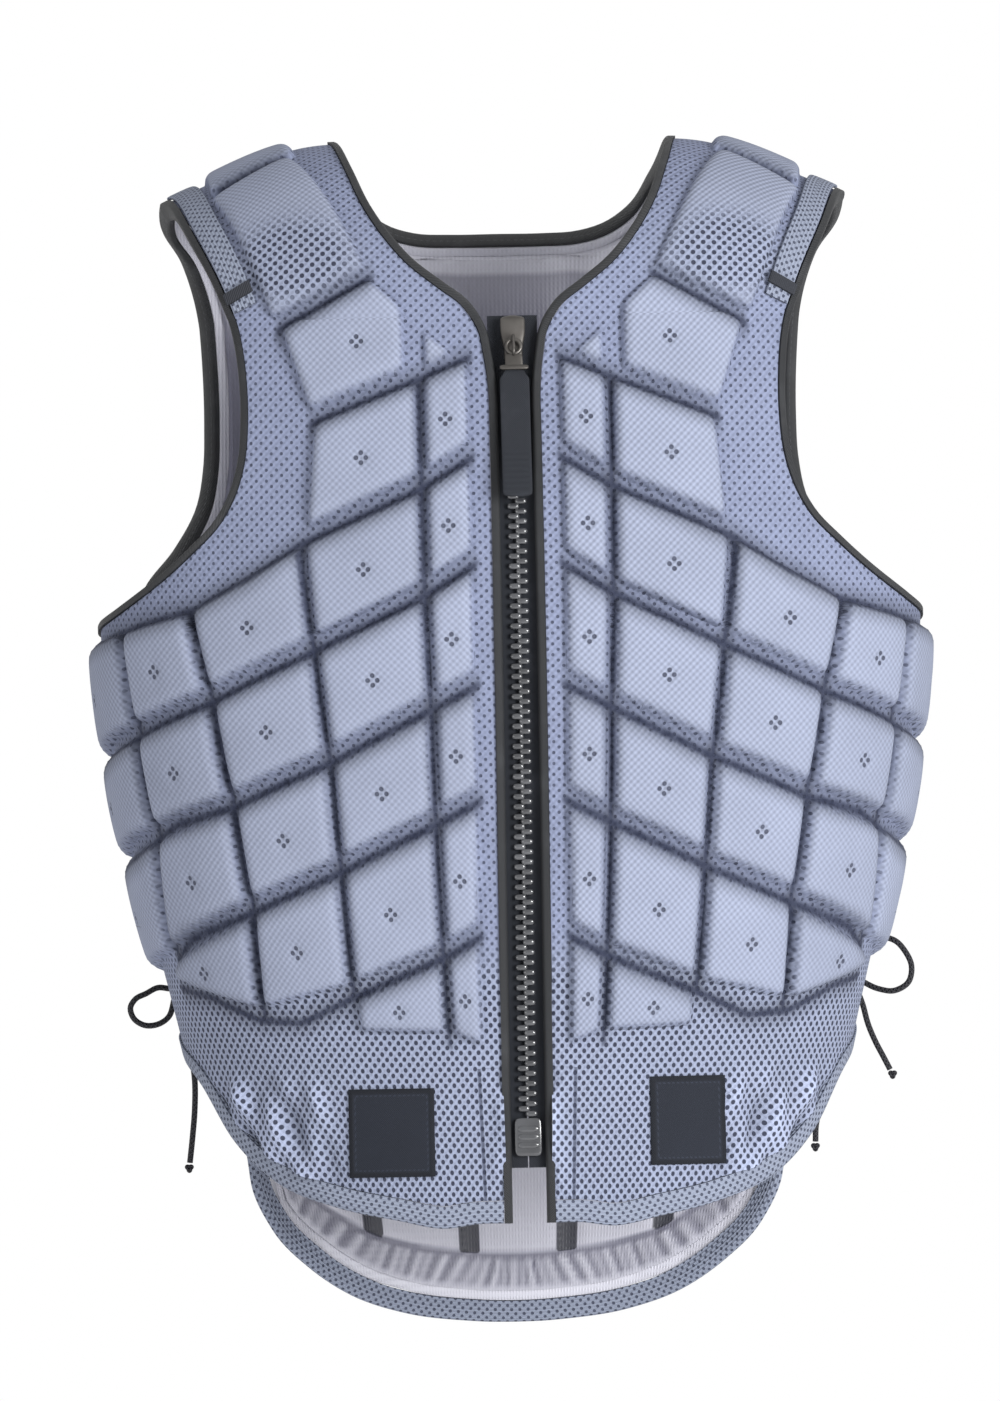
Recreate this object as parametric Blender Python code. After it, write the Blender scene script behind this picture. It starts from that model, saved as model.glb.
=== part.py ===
"""A riding body protector: a padded vest of quilted tiles with a front zip and laced sides.

Metres, +Z up. The front faces -Y and the wearer's left is +X. The origin is the level at which
the shell rests on the shoulders, in the middle of the body.
"""

import math

import bmesh
import bpy
import numpy as np
from mathutils import Matrix
from mathutils.geometry import delaunay_2d_cdt

# Torso
HALF_CHEST = 0.205
FRONT_DEPTH = 0.130
BACK_DEPTH = 0.126
FRONT_DROP = 0.5225
BACK_DROP = 0.575
ARCH_FOOT = 0.072
ARCH_GIRTH = 0.150
SQUARENESS = 0.87
GIRTH_SAMPLES = 4001
PROBE = 2e-4

# Padding
TILE_RELIEF = 0.0062
TILE_CROWN = 0.0012
GROOVE_FLOOR = 0.0010
TILE_SHOULDER = 0.0034
PAD_RELIEF = 0.0050
PAD_WALL = 0.0095
SKIRT_WALL = 0.0032
WALL_BLEND = 0.010
SKIRT_SHARE = 0.845
TAIL_SHARE = 0.900
FACET = 0.044
EDGE_FACET = 0.0190
OUTER_SPACING = 0.80 * FACET
INNER_SPACING = 1.25 * FACET
FIELD_MARGIN = 0.45 * EDGE_FACET
SEAT_MARGIN = 0.40 * EDGE_FACET
CURVE_SAMPLES = 40
SHARP_TURN = math.radians(40.0)
NECK_TILE_SHARE = 0.7
CREST_SPREAD = 0.010
MERGE_DISTANCE = 1e-7

# Folds of the skirt: places as shares of FRONT_DROP and of the front's half girth
FOLD_HEIGHT = 0.0012
FOLD_TOP = 0.860
FOLD_FOOT = 0.975
FOLD_FADE = 0.030
FOLDS_ROUND = 5.0
FOLDS_DOWN = 9.0
CALM_GIRTH = 0.30
CALM_WIDTH = 0.13

# Edges
CLEARANCE = 0.0003
PIPING_WIDTH = 0.0042
PIPING_PROUD = 0.0012
BINDING_WIDTH = 0.0044
BACK_NECK_WIDTH = 0.0034
HEM_WIDTH = 0.0110
HEM_PROUD = 0.0012
SIDE_TURN = math.radians(102.0)
SIDE_GAP = 0.030
NOSE_SHARE = 0.32
NOSE_TURNS = (-90, 0, 90)
BINDING_SHARE = 0.9
LOOP_REACH = 3 * HEM_WIDTH

LINING_THICKNESS = 0.0012
LINING_MARGIN = 0.0050

# Shoulder straps
STRAP_WIDTH = 0.0125
STRAP_THICKNESS = 0.0020
STRAP_LENGTH = 0.113
STRAP_INSET = 0.0010
KEEPER_LENGTH = 0.0050
KEEPER_OVERHANG = 0.0012

# Front zip
ZIP_HALF_GAP = 0.0085
TAPE_THICKNESS = 0.0010
TAPE_DEPTH = 0.0062
TAPE_UNDERLAP = 0.0039
CHAIN_HALF = 0.0050
CHAIN_NECK = 0.0033
CHAIN_THICKNESS = 0.0030
TOOTH_PITCH = 0.0050
ZIP_TOP = 0.0710
ZIP_BOTTOM = 0.4700
SLIDER_LENGTH = 0.0250
SLIDER_HALF = 0.0062
SLIDER_THICKNESS = 0.0045
BAIL_DROP = 0.0150
BAIL_ROOM = 0.0021
BRIDGE_REACH = 0.0031
BRIDGE_BAR = 0.0012
BRIDGE_HALF = 0.0015
SLIDER_BEVEL = 0.0010
PULL_LENGTH = 0.080
PULL_HALF = 0.0070
PULL_THICKNESS = 0.0026
PULL_NECK_HALF = 0.0050
PULL_NECK = 0.0120
PULL_FLARE = 0.0030
WINDOW_HALF = 0.0030
WINDOW_FOOT = 0.0090
BOX_LENGTH = 0.0190
BOX_HALF = 0.0070
BOX_BEVEL = 0.0008
TAPE_FOOT = 0.0060
TAPE_ROWS = 24

# Patches
LABEL_HEIGHT = 0.0440
LABEL_THICKNESS = 0.0008
LABEL_SEAT = 0.0006
LABEL_COLUMNS = 5

# Side lacing
LACE_RADIUS = 0.0015
STRIP_WIDTH = 0.0080
STRIP_THICKNESS = 0.0020
STRIP_DEPTH = 0.0020
STRIP_MARGIN = 0.020
STRIP_ROWS = 12
LACE_SEAT = 0.0005
LACE_LIFT = 0.0007
LACE_TURNS = 7
LACE_TOP = 0.480
LACE_FOOT = 0.745
LACE_STEP = 0.0088
BALL_SIDES = 8
BALL_HEIGHTS = (-68, -38, 0, 38, 68)
KNOT_RADIUS = 0.0044
TIP_RADIUS = 0.0024

# Torso sections: drop as a share of FRONT_DROP, then half width, front depth and back depth as
# shares of HALF_CHEST, FRONT_DEPTH and BACK_DEPTH
SECTIONS = (
    (0.138, 0.985, 0.820, 0.870),
    (0.210, 0.990, 0.900, 0.950),
    (0.290, 0.995, 0.955, 0.990),
    (0.420, 1.000, 1.000, 1.000),
    (0.500, 0.985, 1.000, 0.985),
    (0.565, 0.966, 0.985, 0.950),
    (0.660, 0.920, 0.950, 0.900),
    (0.767, 0.854, 0.910, 0.850),
    (0.828, 0.817, 0.890, 0.830),
    (0.930, 0.760, 0.885, 0.850),
    (1.015, 0.715, 0.890, 0.890),
    (1.100, 0.680, 0.900, 0.930),
)

# Crest of the shoulders: x as a share of HALF_CHEST, drop as a share of FRONT_DROP
CREST = (
    (0.000, -0.0325),
    (0.400, -0.0325),
    (0.517, -0.0270),
    (0.744, 0.0080),
    (0.824, 0.0220),
    (1.000, 0.0600),
)

# Front outline: x as a share of HALF_CHEST, drop as a share of FRONT_DROP
FRONT_NECK = (
    (0.054, 0.167),
    (0.061, 0.151),
    (0.083, 0.133),
    (0.110, 0.119),
    (0.163, 0.103),
    (0.241, 0.078),
    (0.288, 0.056),
    (0.332, 0.029),
    (0.371, -0.007),
)
NECK_FOOT = (0.046, 0.188)
NECK_END = 0.404
SHOULDER_END = 0.838
UNDERARM_DROP = 0.428
FRONT_ARMHOLE = (
    (0.956, UNDERARM_DROP - 0.024),
    (0.868, UNDERARM_DROP - 0.051),
    (0.790, 0.349),
    (0.732, 0.325),
    (0.698, 0.301),
    (0.676, 0.273),
    (0.665, 0.230),
    (0.666, 0.197),
    (0.676, 0.158),
    (0.707, 0.118),
    (0.780, 0.057),
)
ZIP_EDGE_DROPS = (0.212, 0.235, 0.270, 0.350, 0.550, 0.800, 1.000)
UNDERARM_RISE = 0.007
SIDE_FOOT_DROP = 0.832
FRONT_SIDE_DIP = 0.012
BACK_SIDE_DIP = 0.028
BACK_SIDE_RUN = 0.016
SIDE_COLUMN = (0.02, -0.30)
FRONT_HEM = (
    (0.122, 1.000),
    (0.210, 1.004),
    (0.317, 0.996),
    (0.463, 0.983),
    (0.602, 0.960),
    (0.702, 0.921),
    (0.780, 0.864),
)

# Back outline: the hem's drops are shares of BACK_DROP
BACK_NECK = (
    (0.366, 0.000),
    (0.317, 0.030),
    (0.261, 0.045),
    (0.200, 0.052),
    (0.110, 0.054),
    (0.000, 0.054),
)
BACK_ARMHOLE = (
    (0.883, 0.388),
    (0.805, 0.349),
    (0.751, 0.311),
    (0.732, 0.273),
    (0.728, 0.234),
    (0.732, 0.168),
    (0.746, 0.119),
    (0.777, 0.080),
    (0.827, 0.048),
)
BACK_HEM = (
    (0.000, 1.000),
    (0.117, 0.998),
    (0.276, 0.990),
    (0.417, 0.972),
    (0.515, 0.948),
    (0.602, 0.915),
    (0.649, 0.880),
    (0.661, 0.852),
)

# Grooves of the front that run down it, and those that slope outwards, the same shares as the outline.
# The last number of a sloping groove is its drop where it reaches the side.
DOWN_GROOVES = (
    ((0.107, 0.150), (0.107, 0.177), (0.105, 0.373), (0.105, 0.488), (0.102, 0.598), (0.105, 0.728),
     (0.098, 0.860)),
    ((0.235, 0.130), (0.232, 0.196), (0.229, 0.397), (0.217, 0.520), (0.205, 0.693), (0.193, 0.789),
     (0.183, 0.850)),
    ((0.582, 0.120), (0.575, 0.140), (0.495, 0.238), (0.512, 0.328), (0.526, 0.362), (0.499, 0.447),
     (0.457, 0.577), (0.434, 0.694), (0.402, 0.845)),
    ((0.795, 0.395), (0.790, 0.411), (0.768, 0.445), (0.744, 0.494), (0.699, 0.587), (0.654, 0.691),
     (0.622, 0.830)),
    ((0.950, 0.400), (0.940, 0.445), (0.929, 0.464), (0.910, 0.537), (0.861, 0.641), (0.837, 0.709),
     (0.815, 0.800)),
)
SLIT = ((0.200, 0.150), (0.234, 0.133), (0.341, 0.098), (0.568, 0.147), (0.600, 0.155))
SLOPING_GROOVES = (
    ((0.080, 0.168), (0.107, 0.176), (0.233, 0.196), (0.498, 0.237), (0.520, 0.242)),
    ((0.080, 0.265), (0.105, 0.271), (0.232, 0.300), (0.529, 0.352), (0.646, 0.383), (0.707, 0.395),
     (0.780, UNDERARM_DROP - 0.017), (0.946, UNDERARM_DROP + 0.003)),
    ((0.080, 0.367), (0.105, 0.373), (0.229, 0.402), (0.471, 0.448), (0.739, 0.499), (0.912, 0.531)),
    ((0.080, 0.482), (0.105, 0.488), (0.222, 0.511), (0.446, 0.556), (0.690, 0.599), (0.829, 0.615),
     (0.898, 0.642)),
    ((0.080, 0.594), (0.102, 0.598), (0.210, 0.619), (0.439, 0.663), (0.644, 0.699), (0.798, 0.725),
     (0.837, 0.753)),
    ((0.080, 0.722), (0.105, 0.727), (0.195, 0.746), (0.439, 0.787), (0.539, 0.806), (0.641, 0.803),
     (0.756, 0.780), (0.840, 0.768)),
    ((0.080, 0.848), (0.098, 0.844), (0.185, 0.830), (0.263, 0.832), (0.402, 0.827), (0.539, 0.812)),
)
SIDE_SHARES = (0.0495, 0.3391, 0.5767, 0.8391)
SIDE_DROPS = (
    None,
    *(UNDERARM_DROP + share * (SIDE_FOOT_DROP - UNDERARM_DROP) for share in SIDE_SHARES),
    None,
    None,
)
# Rows of tiles: upper groove, lower groove, first column and last column
TILE_ROWS = ((0, 1, 0, 1), (1, 2, 0, 4), (2, 3, 0, 4), (3, 4, 0, 4), (4, 5, 0, 3), (5, 6, 0, 1))
SHOULDER_PAD = ((0.345, 0.092), (0.580, 0.138), (0.716, 0.024), (0.520, -0.016))
CREST_PAD = ((0.505, -0.019), (0.716, 0.019))
NECK_TILE = ((0.222, 0.190), (0.222, 0.146), (0.140, 0.172))

# Back tiles: columns as shares of the back's half girth, rows as shares of FRONT_DROP
BACK_COLUMNS = (0.13, 0.42, 0.70, 0.95)
BACK_ROWS = (0.120, 0.235, 0.350, 0.465, 0.580, 0.695, 0.810, 0.915)
BACK_SLOPE = 0.22
BACK_MARGIN = 0.004

# Patches: x and drop of the centre as shares of HALF_CHEST and FRONT_DROP, and the width in metres
LABELS = {"l": (0.389, 0.905, 0.0375), "r": (0.329, 0.912, 0.0420)}

# Routes of the loose lace, in metres, for the wearer's left, then the wearer's right
LOOP_ROUTES = {
    "l": (
        (0.1790, 0.0340, -0.3900), (0.1850, 0.0300, -0.3850),
        (0.1910, 0.0270, -0.3868), (0.1955, 0.0260, -0.3920), (0.1985, 0.0260, -0.3990),
        (0.1968, 0.0270, -0.4075), (0.1900, 0.0290, -0.4115), (0.1820, 0.0330, -0.4105),
    ),
    "r": (
        (-0.1790, 0.0340, -0.4030), (-0.1850, 0.0310, -0.4058),
        (-0.1905, 0.0290, -0.4085), (-0.1930, 0.0285, -0.4125), (-0.1915, 0.0290, -0.4180),
        (-0.1865, 0.0305, -0.4215), (-0.1800, 0.0330, -0.4215), (-0.1740, 0.0360, -0.4180),
    ),
}
END_ROUTES = {
    "end_l": (
        (0.1740, 0.0340, -0.4180), (0.1765, 0.0330, -0.4280),
        (0.1800, 0.0310, -0.4370), (0.1840, 0.0300, -0.4450), (0.1870, 0.0300, -0.4510),
    ),
    "tail_l": (
        (0.1650, 0.0440, -0.4230), (0.1625, 0.0470, -0.4380),
        (0.1580, 0.0480, -0.4530), (0.1530, 0.0480, -0.4670), (0.1500, 0.0470, -0.4790),
        (0.1496, 0.0460, -0.4865),
    ),
    "end_r": (
        (-0.1640, 0.0430, -0.4220), (-0.1625, 0.0420, -0.4370),
        (-0.1612, 0.0400, -0.4500), (-0.1615, 0.0390, -0.4640), (-0.1630, 0.0380, -0.4790),
        (-0.1645, 0.0370, -0.4910),
    ),
}
KNOT_PLACES = {"l": (0.1690, 0.0400, -0.4040), "r": (-0.1690, 0.0400, -0.4040)}

# Finishes: colour, roughness, metallic
MESH_BLUE = ((0.36, 0.41, 0.53), 0.80, 0.0)
PIPING_GREY = ((0.045, 0.048, 0.055), 0.70, 0.0)
LINING_SILVER = ((0.62, 0.62, 0.70), 0.45, 0.0)
TAPE_BLACK = ((0.030, 0.033, 0.045), 0.75, 0.0)
TOOTH_BLACK = ((0.012, 0.012, 0.015), 0.25, 0.0)
SLIDER_BRONZE = ((0.030, 0.028, 0.027), 0.35, 0.8)
LACE_BLACK = ((0.012, 0.012, 0.014), 0.80, 0.0)
LABEL_CHARCOAL = ((0.045, 0.050, 0.068), 0.65, 0.0)


def clear_scene():
    """Remove what the scene holds."""
    for thing in list(bpy.data.objects):
        bpy.data.objects.remove(thing, do_unlink=True)


def smooth_table(places, values, at):
    """Read a table of values at the given places along a monotone cubic through its rows."""
    places, values = np.asarray(places), np.asarray(values)
    step = np.diff(places)
    slope = np.diff(values) / step
    tangent = np.concatenate([slope[:1], (slope[:-1] + slope[1:]) / 2, slope[-1:]])
    same_way = slope[:-1] * slope[1:] > 0
    tangent[1:-1] = np.where(same_way, tangent[1:-1], 0.0)
    limit = 3 * np.minimum(np.abs(slope[:-1]), np.abs(slope[1:]))
    tangent[1:-1] = np.clip(tangent[1:-1], -limit, limit)
    at = np.clip(at, places[0], places[-1])
    row = np.clip(np.searchsorted(places, at) - 1, 0, len(step) - 1)
    share = (at - places[row]) / step[row]
    return (
        (1 + 2 * share) * (1 - share) ** 2 * values[row]
        + share * (1 - share) ** 2 * step[row] * tangent[row]
        + share**2 * (3 - 2 * share) * values[row + 1]
        + share**2 * (share - 1) * step[row] * tangent[row + 1]
    )


SECTION_DROPS, WIDTH_SHARES, FRONT_SHARES, BACK_SHARES = (np.array(column) for column in zip(*SECTIONS))
CREST_PLACES, CREST_DROPS = (np.array(column) for column in zip(*CREST))


def half_width(height):
    """Half the torso's width at a height."""
    return HALF_CHEST * smooth_table(SECTION_DROPS * FRONT_DROP, WIDTH_SHARES, -height)


def depth_at(height, in_front):
    """Depth of the torso in front of or behind its middle at a height."""
    front = FRONT_DEPTH * smooth_table(SECTION_DROPS * FRONT_DROP, FRONT_SHARES, -height)
    back = BACK_DEPTH * smooth_table(SECTION_DROPS * FRONT_DROP, BACK_SHARES, -height)
    return np.where(in_front, front, back)


def crest_height(x):
    """Height of the shoulders' crest at a distance from the middle."""
    return -FRONT_DROP * smooth_table(CREST_PLACES * HALF_CHEST, CREST_DROPS, np.abs(x))


def signed_power(value):
    """A value's size raised to SQUARENESS, with its sign kept."""
    return np.sign(value) * np.abs(value) ** SQUARENESS


def girth_table():
    """Length along the widest section against the turn from the centre front, up to a full turn."""
    turns = np.linspace(0.0, 2 * math.pi, GIRTH_SAMPLES)
    x = HALF_CHEST * signed_power(np.sin(turns))
    depth = np.where(np.cos(turns) > 0, FRONT_DEPTH, BACK_DEPTH)
    y = -depth * signed_power(np.cos(turns))
    lengths = np.concatenate([[0.0], np.cumsum(np.hypot(np.diff(x), np.diff(y)))])
    return turns, lengths


TURNS, GIRTHS = girth_table()


def girth_of(turn):
    """Length along the section at a turn."""
    return np.interp(turn, TURNS, GIRTHS)


BACK_CENTRE = girth_of(math.pi)
SIDE_FRONT = girth_of(SIDE_TURN)
SIDE_BACK = SIDE_FRONT + SIDE_GAP
SILHOUETTE = girth_of(math.pi / 2)
SHOULDER_LEVEL = -ARCH_FOOT + ARCH_GIRTH


def torso(place):
    """Point of the groove floor at (girth, level).

    The section is a superellipse. Above the foot of the arch the level is a length along a
    quarter turn that carries the section over to the shoulders' crest.
    """
    girth, level = place[:, 0], place[:, 1]
    turn = np.sign(girth) * np.interp(np.abs(girth), GIRTHS, TURNS)
    low = np.minimum(level, -ARCH_FOOT)
    x = half_width(low) * signed_power(np.sin(turn))
    y = -depth_at(low, np.cos(turn) > 0) * signed_power(np.cos(turn))
    rise = np.maximum(level + ARCH_FOOT, 0.0) / ARCH_GIRTH * math.pi / 2
    z = low + (crest_height(x) + ARCH_FOOT) * np.sin(rise)
    return np.stack([x, y * np.cos(rise), z], axis=1)


def axes_at(place):
    """Derivatives along girth and level, and the outward normal."""
    along = (torso(place + (PROBE, 0)) - torso(place - (PROBE, 0))) / (2 * PROBE)
    up = (torso(place + (0, PROBE)) - torso(place - (0, PROBE))) / (2 * PROBE)
    normal = np.cross(along, up)
    return along, up, normal / np.linalg.norm(normal, axis=1, keepdims=True)


def shell_point(place, out):
    """Point at (girth, level), moved out along the normal."""
    place = np.atleast_2d(place)
    return torso(place) + axes_at(place)[2] * np.broadcast_to(out, len(place))[:, None]


def place_of(x_share, drop, behind=False):
    """(girth, level) of the point that is seen from the front at x and a drop, both in shares."""
    x = np.asarray(x_share) * HALF_CHEST
    z = -np.asarray(drop) * FRONT_DROP
    low = np.minimum(z, -ARCH_FOOT)
    sine = np.clip(x / half_width(low), 0.0, 1.0) ** (1 / SQUARENESS)
    turn = np.arcsin(sine)
    girth = girth_of(math.pi - turn if behind else turn)
    share = np.clip((z + ARCH_FOOT) / (crest_height(x) + ARCH_FOOT), 0.0, 1.0)
    level = np.where(z > -ARCH_FOOT, -ARCH_FOOT + ARCH_GIRTH * np.arcsin(share) / (math.pi / 2), z)
    return np.stack([girth, level], axis=-1)


def places(table, behind=False, drop_scale=1.0):
    """The (girth, level) of each row of an outline table."""
    x_shares, drops = np.array(table).T
    return place_of(x_shares, drops * drop_scale, behind)


def curve_through(points, spacing):
    """Smooth curve through points, with points at an even spacing."""
    points = np.asarray(points, float)
    chord = np.concatenate([[0.0], np.cumsum(np.linalg.norm(np.diff(points, axis=0), axis=1))])
    tangent = np.gradient(points, chord, axis=0)
    fine = np.linspace(0.0, chord[-1], CURVE_SAMPLES * len(points))
    row = np.clip(np.searchsorted(chord, fine) - 1, 0, len(chord) - 2)
    step = (chord[row + 1] - chord[row])[:, None]
    share = (fine - chord[row])[:, None] / step
    dense = (
        (1 + 2 * share) * (1 - share) ** 2 * points[row]
        + share * (1 - share) ** 2 * step * tangent[row]
        + share**2 * (3 - 2 * share) * points[row + 1]
        + share**2 * (share - 1) * step * tangent[row + 1]
    )
    length = np.concatenate([[0.0], np.cumsum(np.linalg.norm(np.diff(dense, axis=0), axis=1))])
    count = max(2, round(length[-1] / spacing) + 1)
    at = np.linspace(0.0, length[-1], count)
    return np.stack([np.interp(at, length, column) for column in dense.T], axis=1)


def shifted(path, distance):
    """A path on the shell moved sideways to its left by a distance, measured on the surface."""
    along, up, normal = axes_at(path)
    heading = np.gradient(torso(path), axis=0)
    left = np.cross(normal, heading)
    left = left / np.linalg.norm(left, axis=1, keepdims=True)
    left = left * np.broadcast_to(distance, len(path))[:, None]
    aa, ab, bb = (along * along).sum(1), (along * up).sum(1), (up * up).sum(1)
    a, b = (left * along).sum(1), (left * up).sum(1)
    det = aa * bb - ab * ab
    return path + np.stack([(a * bb - b * ab) / det, (b * aa - a * ab) / det], axis=1)


def trimmed(path, start=0.0, end=0.0):
    """A path with lengths taken off its two ends."""
    length = np.concatenate([[0.0], np.cumsum(np.linalg.norm(np.diff(torso(path), axis=0), axis=1))])
    low, high = start, length[-1] - end
    keep = (length > low + CLEARANCE) & (length < high - CLEARANCE)
    at = np.concatenate([[low], length[keep], [high]])
    return np.stack([np.interp(at, length, column) for column in path.T], axis=1)


def lengthened(path, reach):
    """A path with both ends carried on in a straight line."""
    start = path[0] - path[1]
    end = path[-1] - path[-2]
    first = path[0] + start / np.linalg.norm(start) * reach
    last = path[-1] + end / np.linalg.norm(end) * reach
    return np.concatenate([[first], path, [last]])


def crossing(one, other):
    """Where two paths cross: the point, and the stretch of each path that it lies on."""
    a, b = one[:-1, None], np.diff(one, axis=0)[:, None]
    c, d = other[None, :-1], np.diff(other, axis=0)[None]
    det = b[..., 0] * d[..., 1] - b[..., 1] * d[..., 0]
    det = np.where(np.abs(det) < 1e-14, 1e-14, det)
    gap = c - a
    s = (gap[..., 0] * d[..., 1] - gap[..., 1] * d[..., 0]) / det
    t = (gap[..., 0] * b[..., 1] - gap[..., 1] * b[..., 0]) / det
    hits = np.argwhere((s >= 0) & (s <= 1) & (t >= 0) & (t <= 1))
    if not len(hits):
        return None
    i, j = hits[0]
    return one[i] + s[i, j] * (one[i + 1] - one[i]), i, j


def joined_loop(paths):
    """Closed loop of paths, each cut where it crosses the next."""
    paths = [lengthened(path, LOOP_REACH) for path in paths]
    for index in range(len(paths)):
        after = (index + 1) % len(paths)
        hit = crossing(paths[index], paths[after][: len(paths[after]) // 2 + 1])
        point, i, j = hit
        paths[index] = np.concatenate([paths[index][: i + 1], [point]])
        paths[after] = np.concatenate([[point], paths[after][j + 1 :]])
    return np.concatenate([path[:-1] for path in paths])


def inset(corners, distance):
    """A polygon with every side moved inwards. Its corners go round anticlockwise."""
    side = np.roll(corners, -1, axis=0) - corners
    length = np.linalg.norm(side, axis=1, keepdims=True)
    inward = np.stack([-side[:, 1], side[:, 0]], axis=1) / length
    before = np.roll(inward, 1, axis=0)
    mid = before + inward
    return corners + distance * mid * (2 / (mid * mid).sum(1))[:, None]


def divided(corners, spacing):
    """A polygon's loop with points added along its long sides."""
    parts = []
    for start, end in zip(corners, np.roll(corners, -1, axis=0)):
        count = max(1, math.ceil(np.linalg.norm(end - start) / spacing))
        parts.append(start + (end - start) * (np.arange(count) / count)[:, None])
    return np.concatenate(parts)


def inside(points, loop):
    """Which points lie inside a closed loop, by counting the sides to their right."""
    after = np.roll(loop, -1, axis=0)
    x, y = points[:, :1], points[:, 1:]
    over = (loop[:, 1] > y) != (after[:, 1] > y)
    rise = np.where(after[:, 1] == loop[:, 1], 1e-12, after[:, 1] - loop[:, 1])
    crossed = x < (after[:, 0] - loop[:, 0]) * (y - loop[:, 1]) / rise + loop[:, 0]
    return (over & crossed).sum(1) % 2 == 1


def distance_to(points, loop):
    """Shortest distance from each point to a closed loop."""
    start, side = loop[None], (np.roll(loop, -1, axis=0) - loop)[None]
    gap = points[:, None] - start
    share = np.clip((gap * side).sum(2) / (side * side).sum(2), 0.0, 1.0)
    return np.linalg.norm(gap - share[..., None] * side, axis=2).min(1)


def field_points(outline, tiles, spacing, margin):
    """Points of a grid that lie in an outline, clear of it and of the tiles."""
    low, high = outline.min(0), outline.max(0)
    xs = np.arange(low[0] + spacing / 2, high[0], spacing)
    ys = np.arange(low[1] + spacing / 2, high[1], spacing)
    grid = np.stack(np.meshgrid(xs, ys), axis=-1).reshape(-1, 2)
    keep = inside(grid, outline) & (distance_to(grid, outline) > margin)
    for tile in tiles:
        keep &= ~inside(grid, tile) & (distance_to(grid, tile) > margin)
    return grid[keep]


def triangles(points, loops):
    """Triangles over the area inside the first of the loops."""
    sides = []
    start = 0
    for size in loops:
        index = np.arange(size)
        sides.extend(zip((start + index).tolist(), (start + (index + 1) % size).tolist()))
        start += size
    found = delaunay_2d_cdt([tuple(p) for p in points.tolist()], sides, [], 1, MERGE_DISTANCE)
    source = [origin[0] if origin else -1 for origin in found[3]]
    return [tuple(source[i] for i in face) for face in found[2]]


def wall_at(level, skirt_share):
    """Thickness behind the groove floor: padded above, a plain fabric skirt below a level."""
    low = skirt_share * FRONT_DROP
    share = np.clip((-level - low) / WALL_BLEND + 0.5, 0.0, 1.0)
    return PAD_WALL + (SKIRT_WALL - PAD_WALL) * share * share * (3 - 2 * share)


def material_for(finish):
    """A plain material of a colour, a roughness and a metallic value."""
    colour, roughness, metallic = finish
    name = "finish_" + "_".join(f"{round(channel * 255):03d}" for channel in colour)
    material = bpy.data.materials.get(name)
    if material is None:
        material = bpy.data.materials.new(name)
        material.use_nodes = True
        shader = material.node_tree.nodes["Principled BSDF"]
        shader.inputs["Base Color"].default_value = (*colour, 1.0)
        shader.inputs["Roughness"].default_value = roughness
        shader.inputs["Metallic"].default_value = metallic
    return material


def piece(name, points, faces, finish, mirror=False, smooth=True):
    """A named solid from points and faces, with its faces turned outwards."""
    points = np.asarray(points, float)
    if mirror:
        points = points * (-1, 1, 1)
    mesh = bpy.data.meshes.new(name)
    mesh.from_pydata(points.tolist(), [], [tuple(int(i) for i in face) for face in faces])
    mesh.calc_loop_triangles()
    corners = points[np.array([t.vertices[:] for t in mesh.loop_triangles])]
    if np.linalg.det(corners).sum() < 0:
        mesh.flip_normals()
    if smooth:
        mesh.shade_smooth()
        mesh.set_sharp_from_angle(angle=SHARP_TURN)
    mesh.materials.append(material_for(finish))
    made = bpy.data.objects.new(name, mesh)
    bpy.context.scene.collection.objects.link(made)
    return made


def swept(name, rings, finish, mirror=False):
    """A closed solid through rings of points, with its two ends capped."""
    rings = np.asarray(rings)
    count, sides = rings.shape[:2]
    faces = [tuple(range(sides)), tuple(range((count - 1) * sides, count * sides))[::-1]]
    for i in range(count - 1):
        for j in range(sides):
            k = (j + 1) % sides
            faces.append((i * sides + k, i * sides + j, (i + 1) * sides + j, (i + 1) * sides + k))
    return piece(name, rings.reshape(-1, 3), faces, finish, mirror)


def squared_off(place, path):
    """A strip's path ended flat at the shoulders' crest, where the front meets the back."""
    crest = SHOULDER_LEVEL - CLEARANCE
    place[:, 1] = np.minimum(place[:, 1], crest)
    for end in (0, -1):
        if path[end, 1] > crest - CLEARANCE:
            place[end, 1] = crest
    return place


def split_flat(made):
    """Split a small piece's bent quads into flat triangles."""
    body = bmesh.new()
    body.from_mesh(made.data)
    bmesh.ops.triangulate(body, faces=body.faces[:])
    body.to_mesh(made.data)
    body.free()


def band(name, path, section, finish, mirror=False):
    """A strip along a path on the shell. Its section is a loop of (inward distance, outward offset)."""
    rings = [shell_point(squared_off(shifted(path, across), path), out) for across, out in section]
    return swept(name, np.stack(rings, axis=1), finish, mirror)


def rounded_section(width, back, front):
    """Section of a folded binding: rounded on its outer side, square where it meets the panel."""
    half, mid = (front - back) / 2, (front + back) / 2
    nose = [
        (width * NOSE_SHARE * (1 - math.cos(turn)), mid + half * math.sin(turn))
        for turn in np.radians(NOSE_TURNS)
    ]
    return [(width, back), *nose, (width, front)]


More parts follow.
